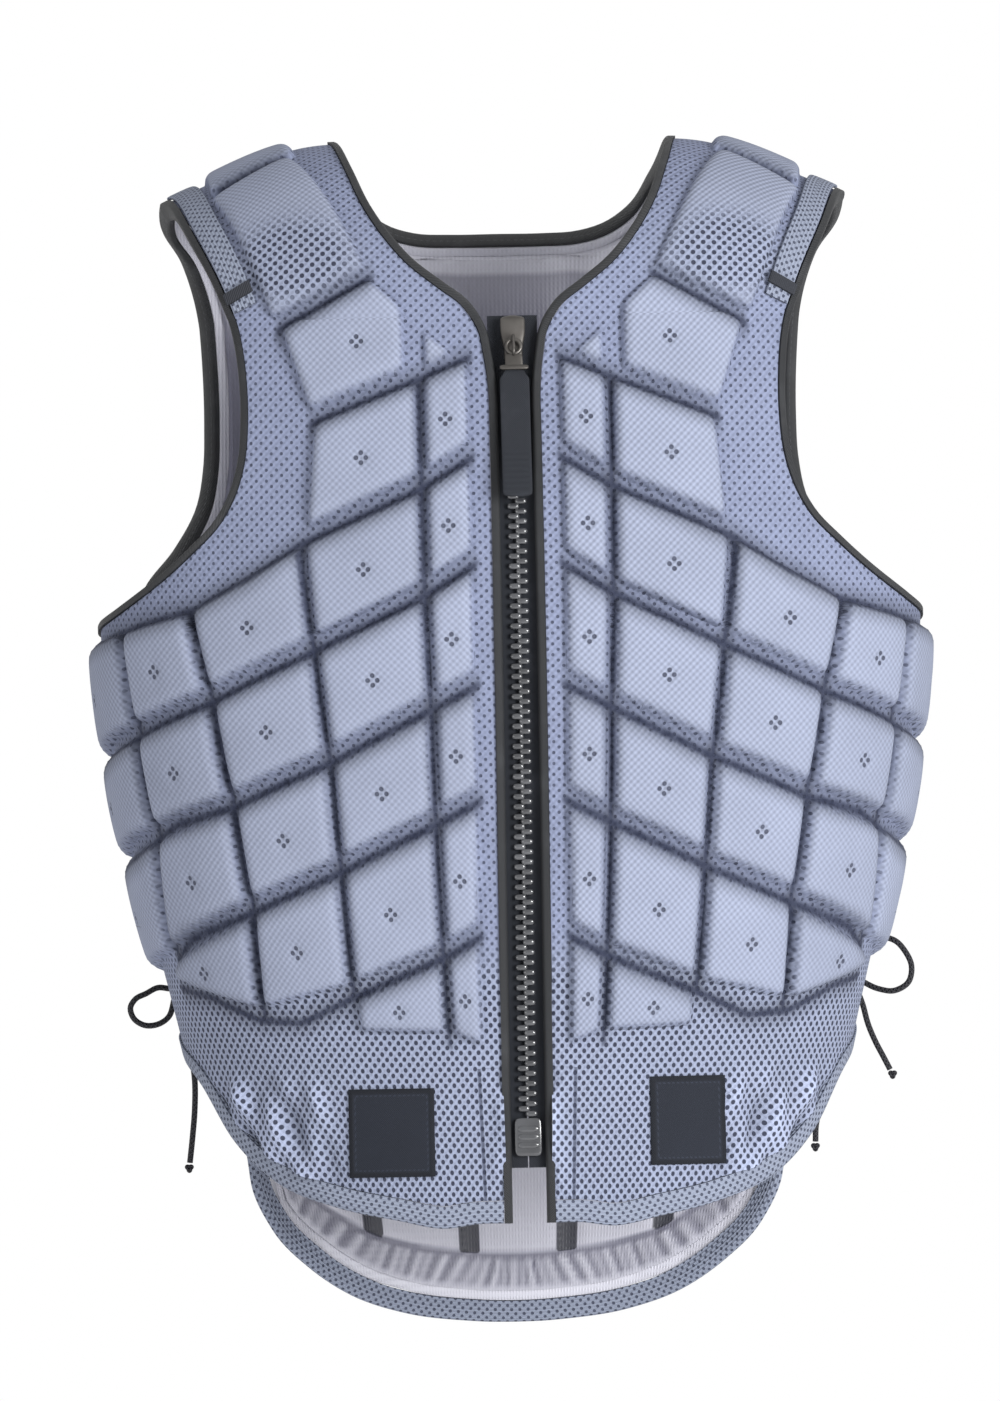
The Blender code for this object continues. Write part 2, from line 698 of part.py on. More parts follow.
def quilted_panel(name, outline, tiles, field, finish, skirt_share, mirror=False, seat=None):
    """A panel with raised tiles outside and a plain inside, closed round its edge.

    Each tile is (corners, relief): its side walls rise from a loop on the groove floor to a
    smaller loop at the relief, and its middle stands a little higher.
    """
    loops, heights = [outline], [np.zeros(len(outline))]
    middles, bases = [], []
    for corners, relief in tiles:
        base = divided(inset(corners, GROOVE_FLOOR), FACET)
        top = divided(inset(corners, GROOVE_FLOOR + TILE_SHOULDER), FACET)
        loops += [base, top]
        heights += [np.zeros(len(base)), np.full(len(top), relief)]
        middles.append((corners.mean(0), relief + TILE_CROWN))
        bases.append(base)
    spare = field_points(outline, bases, OUTER_SPACING, FIELD_MARGIN)
    points = np.concatenate([*loops, np.array([m[0] for m in middles]), spare])
    height = np.concatenate([*heights, [m[1] for m in middles], np.zeros(len(spare))])
    outer_faces = triangles(points, [len(loop) for loop in loops])
    outer = shell_point(points, height + field(points))
    rims = [outline] if seat is None else [outline, seat]
    spare_inside = field_points(outline, [], INNER_SPACING, EDGE_FACET)
    if seat is not None:
        spare_inside = spare_inside[distance_to(spare_inside, seat) > SEAT_MARGIN]
    inner_places = np.concatenate([*rims, spare_inside])
    inner = shell_point(inner_places, -wall_at(inner_places[:, 1], skirt_share))
    inner_faces = triangles(inner_places, [len(rim) for rim in rims])
    start, edge = len(outer), len(outline)
    faces = list(outer_faces)
    faces += [tuple(start + i for i in reversed(face)) for face in inner_faces]
    for i in range(edge):
        j = (i + 1) % edge
        faces.append((j, i, start + i, start + j))
    piece(name, np.concatenate([outer, inner]), faces, finish, mirror)
    return inner_places, inner_faces


def level_line(drop, girths):
    """Points at one drop, at several girths."""
    return np.array([(girth, -drop * FRONT_DROP) for girth in girths])


def front_edges():
    """The front's outer edges, anticlockwise: hem, side, armhole, shoulder, then neck and zip."""
    zip_share = ZIP_HALF_GAP / HALF_CHEST
    hem_points = np.concatenate([
        place_of([zip_share], [1.0]),
        places(FRONT_HEM),
        level_line(SIDE_FOOT_DROP + FRONT_SIDE_DIP, [SILHOUETTE]),
        level_line(SIDE_FOOT_DROP, [SIDE_FRONT]),
    ])
    side = np.array([(SIDE_FRONT, -SIDE_FOOT_DROP), (SIDE_FRONT, -UNDERARM_DROP)]) * (1, FRONT_DROP)
    shoulder_end = np.array([[girth_on_crest(SHOULDER_END), SHOULDER_LEVEL]])
    neck_end = np.array([[girth_on_crest(NECK_END), SHOULDER_LEVEL]])
    arm = np.concatenate([
        level_line(UNDERARM_DROP, [SIDE_FRONT]),
        level_line(UNDERARM_DROP - UNDERARM_RISE, [SILHOUETTE]),
        places(FRONT_ARMHOLE),
        shoulder_end,
    ])
    neck = np.concatenate([
        neck_end,
        places(FRONT_NECK)[::-1],
        place_of(*NECK_FOOT)[None],
        place_of([zip_share] * len(ZIP_EDGE_DROPS), ZIP_EDGE_DROPS),
    ])
    return {
        "hem": curve_through(hem_points, EDGE_FACET),
        "side": curve_through(side, FACET),
        "arm": curve_through(arm, EDGE_FACET),
        "shoulder": np.concatenate([shoulder_end, neck_end]),
        "neck": curve_through(neck, EDGE_FACET),
    }


def girth_on_crest(x_share):
    """Girth of a place on the shoulders' crest."""
    sine = (x_share * HALF_CHEST / half_width(-ARCH_FOOT)) ** (1 / SQUARENESS)
    return girth_of(math.asin(sine))


def mirrored_path(half):
    """A path from the wearer's left to the back's middle, carried on to the right as its reflection."""
    return np.concatenate([half, flipped(half)[1:]])


def back_edges():
    """The back's outer edges, anticlockwise seen from behind, from the hem round to the left side."""
    hem_half = np.concatenate([
        level_line(SIDE_FOOT_DROP, [SIDE_BACK]),
        level_line(SIDE_FOOT_DROP + BACK_SIDE_DIP, [SIDE_BACK + BACK_SIDE_RUN]),
        places(BACK_HEM, behind=True, drop_scale=BACK_DROP / FRONT_DROP)[::-1],
    ])
    shoulder_end = np.array([[mirror_girth(girth_on_crest(SHOULDER_END)), SHOULDER_LEVEL]])
    neck_end = np.array([[mirror_girth(girth_on_crest(NECK_END)), SHOULDER_LEVEL]])
    arm = np.concatenate([
        shoulder_end,
        places(BACK_ARMHOLE, behind=True)[::-1],
        level_line(UNDERARM_DROP, [SIDE_BACK]),
    ])
    neck_half = np.concatenate([neck_end, places(BACK_NECK, behind=True)])
    side = np.array([(SIDE_BACK, -UNDERARM_DROP), (SIDE_BACK, -SIDE_FOOT_DROP)]) * (1, FRONT_DROP)
    shoulder = np.concatenate([neck_end, shoulder_end])
    return {
        "hem": curve_through(mirrored_path(hem_half), EDGE_FACET),
        "neck": curve_through(mirrored_path(neck_half), EDGE_FACET)[::-1],
        "arm": curve_through(arm, EDGE_FACET),
        "side": curve_through(side, FACET),
        "shoulder": shoulder,
    }


def back_outline(edges, hem, arm, neck, side, shoulder):
    """The back's outline, moved in from each of its edges by a distance."""
    arm_path, side_path = shifted(edges["arm"], arm), shifted(edges["side"], side)
    shoulder_path = edges["shoulder"] - (0, shoulder)
    return joined_loop([
        shifted(edges["hem"], hem),
        flipped(side_path),
        flipped(arm_path),
        flipped(shoulder_path),
        shifted(edges["neck"], neck),
        shoulder_path,
        arm_path,
        side_path,
    ])


def mirror_girth(girth):
    """Girth behind the torso's middle of the place that has this girth in front of it."""
    turn = np.interp(girth, GIRTHS, TURNS)
    return girth_of(math.pi - turn)


def flipped(path):
    """A back path reflected in the middle of the back, run the other way."""
    return (path * (-1, 1) + (2 * BACK_CENTRE, 0))[::-1]


def extended_groove(table, side_drop):
    """A sloping groove's path, carried on round the side where it reaches it."""
    path = places(table)
    if side_drop is not None:
        path = np.concatenate([path, level_line(side_drop, [SILHOUETTE, SIDE_FRONT + STRIP_WIDTH])])
    return path


def front_tiles():
    """Corners and relief of each raised tile of the front."""
    columns = [places(table) for table in DOWN_GROOVES]
    side_girth = SIDE_FRONT - GROOVE_FLOOR
    top, foot = (reach - UNDERARM_DROP * FRONT_DROP for reach in SIDE_COLUMN)
    columns.append(np.array([(side_girth, top), (side_girth, foot)]))
    grooves = [extended_groove(table, drop) for table, drop in zip(SLOPING_GROOVES, SIDE_DROPS)]
    slit = places(SLIT)
    found = []
    for upper, lower, first, last in TILE_ROWS:
        for column in range(first, last + 1):
            left, right = columns[column], columns[column + 1]
            corners = [
                crossing(grooves[lower], left),
                crossing(grooves[lower], right),
                crossing(grooves[upper], right),
                crossing(grooves[upper], left),
            ]
            found.append((np.array([c[0] for c in corners]), TILE_RELIEF))
    block_top = [
        crossing(grooves[0], columns[1]),
        crossing(grooves[0], columns[2]),
        crossing(slit, columns[2]),
        crossing(slit, columns[1]),
    ]
    corners = [c[0] for c in block_top]
    corners.insert(3, places(SLIT)[2])
    found.append((np.array(corners), TILE_RELIEF))
    found.append((places(NECK_TILE), TILE_RELIEF * NECK_TILE_SHARE))
    found.append((places(SHOULDER_PAD), PAD_RELIEF))
    outer, inner = place_of(*CREST_PAD[1]), place_of(*CREST_PAD[0])
    crest_corners = [
        inner,
        outer,
        (girth_on_crest(CREST_PAD[1][0] + CREST_SPREAD), SHOULDER_LEVEL - GROOVE_FLOOR),
        (girth_on_crest(CREST_PAD[0][0] + CREST_SPREAD), SHOULDER_LEVEL - GROOVE_FLOOR),
    ]
    found.append((np.array(crest_corners), PAD_RELIEF))
    return found


def skirt_folds(points):
    """Soft diagonal folds of the skirt, which fade out towards the padding and the hem."""
    drop = -points[:, 1] / FRONT_DROP
    girth = points[:, 0] / SIDE_FRONT
    fade = np.clip((drop - FOLD_TOP) / FOLD_FADE, 0, 1) * np.clip((FOLD_FOOT - drop) / FOLD_FADE, 0, 1)
    near_label = np.exp(-(((girth - CALM_GIRTH) / CALM_WIDTH) ** 2))
    fold = np.sin(2 * math.pi * (girth * FOLDS_ROUND + drop * FOLDS_DOWN))
    return FOLD_HEIGHT * fade * fold * (1 - near_label)


def no_folds(points):
    """No relief between the tiles."""
    return np.zeros(len(points))


def make_front(side, mirror):
    """Everything of one front half that lies on the shell."""
    edges = front_edges()
    seam = PIPING_WIDTH + CLEARANCE
    hem_seam = HEM_WIDTH + CLEARANCE
    outline = joined_loop([
        shifted(edges["hem"], hem_seam),
        edges["side"],
        shifted(edges["arm"], BINDING_WIDTH + CLEARANCE),
        edges["shoulder"] - (0, CLEARANCE),
        shifted(edges["neck"], seam),
    ])
    quilted_panel(
        f"front_panel_{side}", outline, front_tiles(), skirt_folds, MESH_BLUE, SKIRT_SHARE, mirror
    )
    back = -PAD_WALL * BINDING_SHARE
    piping_back = -(TAPE_DEPTH - TAPE_THICKNESS - CLEARANCE)
    band(
        f"front_piping_{side}", trimmed(edges["neck"], CLEARANCE),
        rounded_section(PIPING_WIDTH, piping_back, PIPING_PROUD), PIPING_GREY, mirror,
    )
    band(
        f"armhole_binding_front_{side}", trimmed(edges["arm"], 0.0, CLEARANCE),
        rounded_section(BINDING_WIDTH, back, PIPING_PROUD), PIPING_GREY, mirror,
    )
    band(
        f"hem_band_front_{side}", trimmed(edges["hem"], PIPING_WIDTH + CLEARANCE, 0.0),
        rounded_section(HEM_WIDTH, -SKIRT_WALL - CLEARANCE, HEM_PROUD), MESH_BLUE, mirror,
    )
    lead = BINDING_WIDTH + STRAP_INSET
    strap_path = trimmed(edges["arm"][::-1], CLEARANCE)
    strap_path = until(strap_path, STRAP_LENGTH)
    low, high = LACE_SEAT, LACE_SEAT + STRAP_THICKNESS
    flat = [(-lead - STRAP_WIDTH, low), (-lead, low), (-lead, high), (-lead - STRAP_WIDTH, high)]
    band(f"shoulder_strap_{side}", strap_path, flat, MESH_BLUE, mirror)
    keeper_path = trimmed(strap_path, STRAP_LENGTH - 2 * KEEPER_LENGTH, KEEPER_LENGTH)
    low, high = high + CLEARANCE, high + CLEARANCE + STRAP_THICKNESS
    near, far = -lead + KEEPER_OVERHANG, -lead - STRAP_WIDTH - KEEPER_OVERHANG
    keeper = band(
        f"strap_keeper_{side}", keeper_path,
        [(far, low), (near, low), (near, high), (far, high)], LABEL_CHARCOAL, mirror,
    )
    split_flat(keeper)
    lacing_strip(f"lacing_strip_front_{side}", edges["side"], mirror)


def until(path, length):
    """The start of a path, up to a length."""
    whole = np.linalg.norm(np.diff(torso(path), axis=0), axis=1).sum()
    return trimmed(path, 0.0, whole - length)


def lacing_strip(name, edge, mirror):
    """The webbing strip that runs beside a side edge and carries the lace."""
    low, high = -STRIP_DEPTH - STRIP_THICKNESS, -STRIP_DEPTH
    section = [(-STRIP_WIDTH, low), (-CLEARANCE, low), (-CLEARANCE, high), (-STRIP_WIDTH, high)]
    path = level_path(edge[0, 0], LACE_TOP - STRIP_MARGIN, LACE_FOOT + STRIP_MARGIN)
    path = path if edge[-1, 1] > edge[0, 1] else path[::-1]
    band(name, path, section, LABEL_CHARCOAL, mirror)


def level_path(girth, top_drop, foot_drop):
    """A path at one girth, from a lower drop up to a higher one."""
    levels = np.linspace(-foot_drop * FRONT_DROP, -top_drop * FRONT_DROP, STRIP_ROWS)
    return np.stack([np.full(STRIP_ROWS, girth), levels], axis=1)


def back_tiles(outline):
    """Corners and relief of each raised tile of the back that lies clear of its edges."""
    half = BACK_CENTRE - SIDE_BACK
    columns = [-c for c in reversed(BACK_COLUMNS)] + list(BACK_COLUMNS)
    found = []
    for left, right in zip(columns, columns[1:]):
        for upper, lower in zip(BACK_ROWS, BACK_ROWS[1:]):
            corners = np.array([
                (BACK_CENTRE + c * half, -row * FRONT_DROP - BACK_SLOPE * (1 - abs(c)) * half)
                for c, row in ((left, lower), (right, lower), (right, upper), (left, upper))
            ])
            clear = inside(corners, outline) & (distance_to(corners, outline) > BACK_MARGIN)
            if clear.all():
                found.append((corners, TILE_RELIEF))
    return found


def make_back():
    """The back panel, its lining, its edges and its lacing strips."""
    edges = back_edges()
    binding = BINDING_WIDTH + CLEARANCE
    outline = back_outline(
        edges, HEM_WIDTH + CLEARANCE, binding, BACK_NECK_WIDTH + CLEARANCE, 0.0, CLEARANCE
    )
    seat = back_outline(
        edges, HEM_WIDTH + LINING_MARGIN, binding + LINING_MARGIN, BACK_NECK_WIDTH + LINING_MARGIN,
        LINING_MARGIN, LINING_MARGIN,
    )
    places_inside, faces_inside = quilted_panel(
        "back_panel", outline, back_tiles(outline), no_folds, MESH_BLUE, TAIL_SHARE, seat=seat
    )
    make_lining(places_inside, faces_inside, seat)
    back = -PAD_WALL * BINDING_SHARE
    band("neck_binding_back", trimmed(edges["neck"], CLEARANCE, CLEARANCE),
         rounded_section(BACK_NECK_WIDTH, back, PIPING_PROUD), PIPING_GREY)
    band("hem_band_back", edges["hem"],
         rounded_section(HEM_WIDTH, -SKIRT_WALL - HEM_PROUD, HEM_PROUD), MESH_BLUE)
    for side, mirror in (("l", False), ("r", True)):
        band(f"armhole_binding_back_{side}", trimmed(edges["arm"], CLEARANCE, 0.0),
             rounded_section(BINDING_WIDTH, back, PIPING_PROUD), PIPING_GREY, mirror)
        lacing_strip(f"lacing_strip_back_{side}", edges["side"], mirror)


def make_lining(points, faces, seat):
    """The thin lining that lies against the inside of the back, on the same facets."""
    centres = points[np.array(faces)].mean(1)
    kept = [face for face, within in zip(faces, inside(centres, seat)) if within]
    used = sorted({i for face in kept for i in face})
    index = {old: new for new, old in enumerate(used)}
    kept = [tuple(index[i] for i in face) for face in kept]
    place = points[used]
    behind = wall_at(place[:, 1], TAIL_SHARE) + CLEARANCE
    near = shell_point(place, -behind)
    far = shell_point(place, -behind - LINING_THICKNESS)
    sides = {(face[i], face[(i + 1) % 3]) for face in kept for i in range(3)}
    rim = [(a, b) for a, b in sides if (b, a) not in sides]
    start = len(near)
    all_faces = kept + [tuple(start + i for i in reversed(face)) for face in kept]
    all_faces += [(b, a, start + a, start + b) for a, b in sorted(rim)]
    piece("back_lining", np.concatenate([near, far]), all_faces, LINING_SILVER)


def zip_point(x, level, out):
    """Point by the zip: across, at a level, and out from the groove floor."""
    place = np.array([[0.0, level]])
    return torso(place)[0] + (x, 0, 0) + axes_at(place)[2][0] * out


def zip_strip(name, levels, halves, out, finish):
    """A strip down the zip's line. Each level has its (left, right) edges."""
    rings = [
        [zip_point(left, level, out[0]), zip_point(right, level, out[0]),
         zip_point(right, level, out[1]), zip_point(left, level, out[1])]
        for level, (left, right) in zip(levels, halves)
    ]
    return swept(name, rings, finish)


def block(name, across, levels, out, finish, bevel):
    """A box by the zip with rounded edges, from its spans across, along and out."""
    middle = (levels[0] + levels[1]) / 2
    made = zip_strip(name, levels, [across, across], out, finish)
    rounding = made.modifiers.new("rounding", "BEVEL")
    rounding.width = bevel
    rounding.segments = 2
    return made


def joined(body, other, operation):
    """Join a second solid to a body, or cut it out, and hide the second one."""
    change = body.modifiers.new(operation.lower(), "BOOLEAN")
    change.operation = operation
    change.object = other
    other.hide_render = True
    other.display_type = "WIRE"


def make_zip():
    """The front zip: tapes, chain, slider with its bridge, pull and bottom box."""
    tape_foot = ZIP_BOTTOM + BOX_LENGTH + TAPE_FOOT
    levels = np.linspace(-ZIP_TOP, -tape_foot, TAPE_ROWS)
    back = -TAPE_DEPTH
    for side, sign in (("l", 1), ("r", -1)):
        edge = sorted((sign * CLEARANCE, sign * (ZIP_HALF_GAP + TAPE_UNDERLAP)))
        zip_strip(f"zip_tape_{side}", levels, [edge] * TAPE_ROWS, (back, back + TAPE_THICKNESS), TAPE_BLACK)
    chain_back = back + TAPE_THICKNESS + CLEARANCE
    chain_front = chain_back + CHAIN_THICKNESS
    count = round((ZIP_BOTTOM - ZIP_TOP - BAIL_DROP) / TOOTH_PITCH) * 2
    levels = -ZIP_BOTTOM + np.arange(count) * TOOTH_PITCH / 2
    widths = [(-CHAIN_HALF, CHAIN_NECK) if i % 2 else (-CHAIN_NECK, CHAIN_HALF) for i in range(count)]
    zip_strip("zip_teeth", levels, widths, (chain_back, chain_front), TOOTH_BLACK)
    block("zip_box", (-BOX_HALF, BOX_HALF), (-ZIP_BOTTOM - CLEARANCE, -ZIP_BOTTOM - BOX_LENGTH),
          (chain_back, chain_front + CLEARANCE), TOOTH_BLACK, BOX_BEVEL)
    slider_back = chain_front + CLEARANCE
    slider_front = slider_back + SLIDER_THICKNESS
    slider = block("zip_slider", (-SLIDER_HALF, SLIDER_HALF), (-ZIP_TOP, -ZIP_TOP - SLIDER_LENGTH),
                   (slider_back, slider_front), SLIDER_BRONZE, SLIDER_BEVEL)
    pivot_out = slider_front + CLEARANCE + BAIL_ROOM
    pivot_level = -ZIP_TOP - BAIL_DROP
    bridge = bridge_piece(pivot_level, pivot_out, slider_front)
    joined(slider, bridge, "UNION")
    make_pull(pivot_level, pivot_out)


def bridge_piece(level, out, foot):
    """The bridge over the pull's cross bar: a flat bar that stands on two legs along the zip."""
    top = out + BAIL_ROOM
    inner_up, inner_down = BAIL_ROOM, BAIL_ROOM + BRIDGE_REACH
    sink = SLIDER_THICKNESS / 2
    outline = [
        (inner_up + BRIDGE_BAR, foot - sink), (inner_up + BRIDGE_BAR, top + BRIDGE_BAR),
        (-inner_down - BRIDGE_BAR, top + BRIDGE_BAR), (-inner_down - BRIDGE_BAR, foot - sink),
        (-inner_down, foot - sink), (-inner_down, top), (inner_up, top), (inner_up, foot - sink),
    ]
    rings = [
        [zip_point(x, level + along, rise) for along, rise in outline]
        for x in (-BRIDGE_HALF, BRIDGE_HALF)
    ]
    sides = len(outline)
    left_caps = [(0, 1, 6, 7), (1, 2, 5, 6), (2, 3, 4, 5)]
    faces = [cap[::-1] for cap in left_caps] + [tuple(sides + i for i in cap) for cap in left_caps]
    faces += [(j, (j + 1) % sides, sides + (j + 1) % sides, sides + j) for j in range(sides)]
    return piece("slider_bridge", np.array(rings).reshape(-1, 3), faces, SLIDER_BRONZE)


def make_pull(level, out):
    """The pull: a flat strip that hangs from its cross bar, with a window that clears the bridge."""
    place = np.array([[0.0, level]])
    _, up, normal = (axis[0] for axis in axes_at(place))
    up = up / np.linalg.norm(up)
    pivot = zip_point(0.0, level, out)
    half = PULL_THICKNESS / 2
    outline = (
        (PULL_NECK_HALF, half), (PULL_NECK_HALF, -PULL_NECK), (PULL_HALF, -PULL_NECK - PULL_FLARE),
        (PULL_HALF, -PULL_LENGTH + PULL_FLARE), (PULL_HALF - PULL_FLARE / 2, -PULL_LENGTH),
    )
    outline = outline + tuple((-x, along) for x, along in reversed(outline))
    rings = [[(x, along, rise) for x, along in outline] for rise in (-half, half)]
    pull = swept("zip_pull", rings, TAPE_BLACK)
    opening = (
        (WINDOW_HALF, -half), (WINDOW_HALF, -WINDOW_FOOT),
        (-WINDOW_HALF, -WINDOW_FOOT), (-WINDOW_HALF, -half),
    )
    cut_rings = [[(x, along, rise) for x, along in opening] for rise in (-PULL_THICKNESS, PULL_THICKNESS)]
    window = swept("pull_window", cut_rings, TAPE_BLACK)
    tilt = Matrix((
        (1.0, up[0], normal[0], pivot[0]),
        (0.0, up[1], normal[1], pivot[1]),
        (0.0, up[2], normal[2], pivot[2]),
        (0.0, 0.0, 0.0, 1.0),
    ))
    pull.matrix_world = tilt
    window.matrix_world = tilt
    joined(pull, window, "DIFFERENCE")


def make_label(side, mirror):
    """A thin square patch on the skirt."""
    x_share, drop, width = LABELS[side]
    across = x_share + np.linspace(-0.5, 0.5, LABEL_COLUMNS) * width / HALF_CHEST
    drops = drop + np.linspace(0.5, -0.5, LABEL_COLUMNS) * LABEL_HEIGHT / FRONT_DROP
    rings = []
    for row in drops:
        place = place_of(across, np.full(LABEL_COLUMNS, row))
        under = shell_point(place, LABEL_SEAT)
        over = shell_point(place, LABEL_SEAT + LABEL_THICKNESS)
        rings.append(np.concatenate([under, over[::-1]]))
    swept(f"label_{side}", rings, LABEL_CHARCOAL, mirror)


def cord(name, points, radius=LACE_RADIUS):
    """A round cord along points."""
    curve = bpy.data.curves.new(name, "CURVE")
    curve.dimensions = "3D"
    curve.bevel_depth = radius
    curve.bevel_resolution = 2
    curve.use_fill_caps = True
    spline = curve.splines.new("POLY")
    spline.points.add(len(points) - 1)
    spline.points.foreach_set("co", np.column_stack([points, np.ones(len(points))]).ravel())
    curve.materials.append(material_for(LACE_BLACK))
    made = bpy.data.objects.new(name, curve)
    bpy.context.scene.collection.objects.link(made)
    return made


def ball(name, centre, radius):
    """A small round knot."""
    turns = np.linspace(0, 2 * math.pi, BALL_SIDES, endpoint=False)
    heights = np.radians(BALL_HEIGHTS)
    rings = [
        [(centre[0] + radius * math.cos(h) * math.cos(t), centre[1] + radius * math.cos(h) * math.sin(t),
          centre[2] + radius * math.sin(h)) for t in turns]
        for h in heights
    ]
    return swept(name, rings, LACE_BLACK)


def from_ball(centre, radius, towards):
    """Point just off a ball's surface on the way to another point."""
    centre, towards = np.asarray(centre), np.asarray(towards)
    way = towards - centre
    return centre + way / np.linalg.norm(way) * (radius + CLEARANCE)


def make_lacing(side, sign):
    """The lace across one side gap, with its knot, its loop and its loose ends."""
    knot = KNOT_PLACES[side]
    count = LACE_TURNS + 1
    girths = np.where(
        np.arange(count) % 2 == 0, SIDE_FRONT + STRIP_WIDTH / 2, SIDE_BACK - STRIP_WIDTH / 2
    )
    levels = np.linspace(-LACE_TOP, -LACE_FOOT, count) * FRONT_DROP
    seat = -STRIP_DEPTH + LACE_SEAT + LACE_LIFT + LACE_RADIUS
    crossings = shell_point(np.stack([girths, levels], axis=1), seat) * (sign, 1, 1)
    lace = np.concatenate([crossings, [from_ball(knot, KNOT_RADIUS, crossings[-1])]])
    cord(f"side_lace_{side}", curve_through(lace, LACE_STEP))
    ball(f"lace_knot_{side}", knot, KNOT_RADIUS)
    loop = np.array(LOOP_ROUTES[side])
    ends = [from_ball(knot, KNOT_RADIUS, loop[0])], [from_ball(knot, KNOT_RADIUS, loop[-1])]
    cord(f"lace_loop_{side}", curve_through(np.concatenate([ends[0], loop, ends[1]]), LACE_STEP))
    for name, route in END_ROUTES.items():
        if not name.endswith(side):
            continue
        route = np.array(route)
        path = curve_through(np.concatenate([[from_ball(knot, KNOT_RADIUS, route[0])], route]), LACE_STEP)
        cord(f"lace_{name}", path)
        way = (path[-1] - path[-2]) / np.linalg.norm(path[-1] - path[-2])
        ball(f"lace_tip_{name}", path[-1] + way * (TIP_RADIUS + CLEARANCE), TIP_RADIUS)


def main():
    """Build every piece of the vest."""
    clear_scene()
    for side, sign in (("l", 1), ("r", -1)):
        make_front(side, sign < 0)
        make_label(side, sign < 0)
        make_lacing(side, sign)
    make_back()
    make_zip()


main()
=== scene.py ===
"""Dressed model of a riding body protector: quilted mesh panels, lining, zip, bindings and side lacing.

Metres, +Z up. The front faces -Y and the wearer's left is +X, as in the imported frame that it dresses.
Places on the shell are (girth, level): a length round the widest section from the centre front, and a
height, which above the foot of the shoulder arch is a length along the arch.
"""

import logging
import math
from dataclasses import dataclass, field
from enum import Enum
from functools import cached_property

import bpy
import numpy as np
from mathutils import Matrix, Vector

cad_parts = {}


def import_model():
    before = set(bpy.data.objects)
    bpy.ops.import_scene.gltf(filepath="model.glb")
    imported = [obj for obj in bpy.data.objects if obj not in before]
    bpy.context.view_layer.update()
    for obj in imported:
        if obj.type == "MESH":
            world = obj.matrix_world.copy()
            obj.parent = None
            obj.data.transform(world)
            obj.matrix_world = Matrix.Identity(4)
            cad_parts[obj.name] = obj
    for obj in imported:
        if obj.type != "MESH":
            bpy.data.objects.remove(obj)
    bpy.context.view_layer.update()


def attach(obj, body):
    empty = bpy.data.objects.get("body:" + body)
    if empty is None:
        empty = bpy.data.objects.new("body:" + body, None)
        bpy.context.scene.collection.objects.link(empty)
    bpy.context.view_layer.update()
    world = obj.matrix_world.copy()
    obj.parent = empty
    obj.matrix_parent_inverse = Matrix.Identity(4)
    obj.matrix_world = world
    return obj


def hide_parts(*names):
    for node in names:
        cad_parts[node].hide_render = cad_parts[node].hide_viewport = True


log = logging.getLogger("vest")

CREST_SPREAD = 0.010
NECK_TILE_SHARE = 0.7

# Torso sections: drop as a share of FRONT_DROP, then half width, front depth and back depth as
# shares of HALF_CHEST, FRONT_DEPTH and BACK_DEPTH
SECTIONS = (
    (0.138, 0.985, 0.820, 0.870), (0.210, 0.990, 0.900, 0.950), (0.290, 0.995, 0.955, 0.990),
    (0.420, 1.000, 1.000, 1.000), (0.500, 0.985, 1.000, 0.985), (0.565, 0.966, 0.985, 0.950),
    (0.660, 0.920, 0.950, 0.900), (0.767, 0.854, 0.910, 0.850), (0.828, 0.817, 0.890, 0.830),
    (0.930, 0.760, 0.885, 0.850), (1.015, 0.715, 0.890, 0.890), (1.100, 0.680, 0.900, 0.930),
)

# Crest of the shoulders: x as a share of HALF_CHEST, drop as a share of FRONT_DROP
CREST = (
    (0.000, -0.0325), (0.400, -0.0325), (0.517, -0.0270), (0.744, 0.0080), (0.824, 0.0220),
    (1.000, 0.0600),
)

# Front outline: x as a share of HALF_CHEST, drop as a share of FRONT_DROP
FRONT_NECK = (
    (0.054, 0.167), (0.061, 0.151), (0.083, 0.133), (0.110, 0.119), (0.163, 0.103), (0.241, 0.078),
    (0.288, 0.056), (0.332, 0.029), (0.371, -0.007),
)
NECK_FOOT = (0.046, 0.188)
NECK_END = 0.404
SHOULDER_END = 0.838
UNDERARM_DROP = 0.428
FRONT_ARMHOLE = (
    (0.956, UNDERARM_DROP - 0.024),
    (0.868, UNDERARM_DROP - 0.051),
    (0.790, 0.349), (0.732, 0.325), (0.698, 0.301), (0.676, 0.273), (0.665, 0.230), (0.666, 0.197),
    (0.676, 0.158), (0.707, 0.118), (0.780, 0.057),
)
ZIP_EDGE_DROPS = (0.212, 0.235, 0.270, 0.350, 0.550, 0.800, 1.000)
UNDERARM_RISE = 0.007
SIDE_FOOT_DROP = 0.832
FRONT_SIDE_DIP = 0.012
BACK_SIDE_DIP = 0.028
BACK_SIDE_RUN = 0.016
SIDE_COLUMN = (0.02, -0.30)
FRONT_HEM = (
    (0.122, 1.000), (0.210, 1.004), (0.317, 0.996), (0.463, 0.983), (0.602, 0.960), (0.702, 0.921),
    (0.780, 0.864),
)

# Back outline: the hem's drops are shares of BACK_DROP
BACK_NECK = (
    (0.366, 0.000), (0.317, 0.030), (0.261, 0.045), (0.200, 0.052), (0.110, 0.054), (0.000, 0.054),
)
BACK_ARMHOLE = (
    (0.883, 0.388), (0.805, 0.349), (0.751, 0.311), (0.732, 0.273), (0.728, 0.234), (0.732, 0.168),
    (0.746, 0.119), (0.777, 0.080), (0.827, 0.048),
)
BACK_HEM = (
    (0.000, 1.000), (0.117, 0.998), (0.276, 0.990), (0.417, 0.972), (0.515, 0.948), (0.602, 0.915),
    (0.649, 0.880), (0.661, 0.852),
)

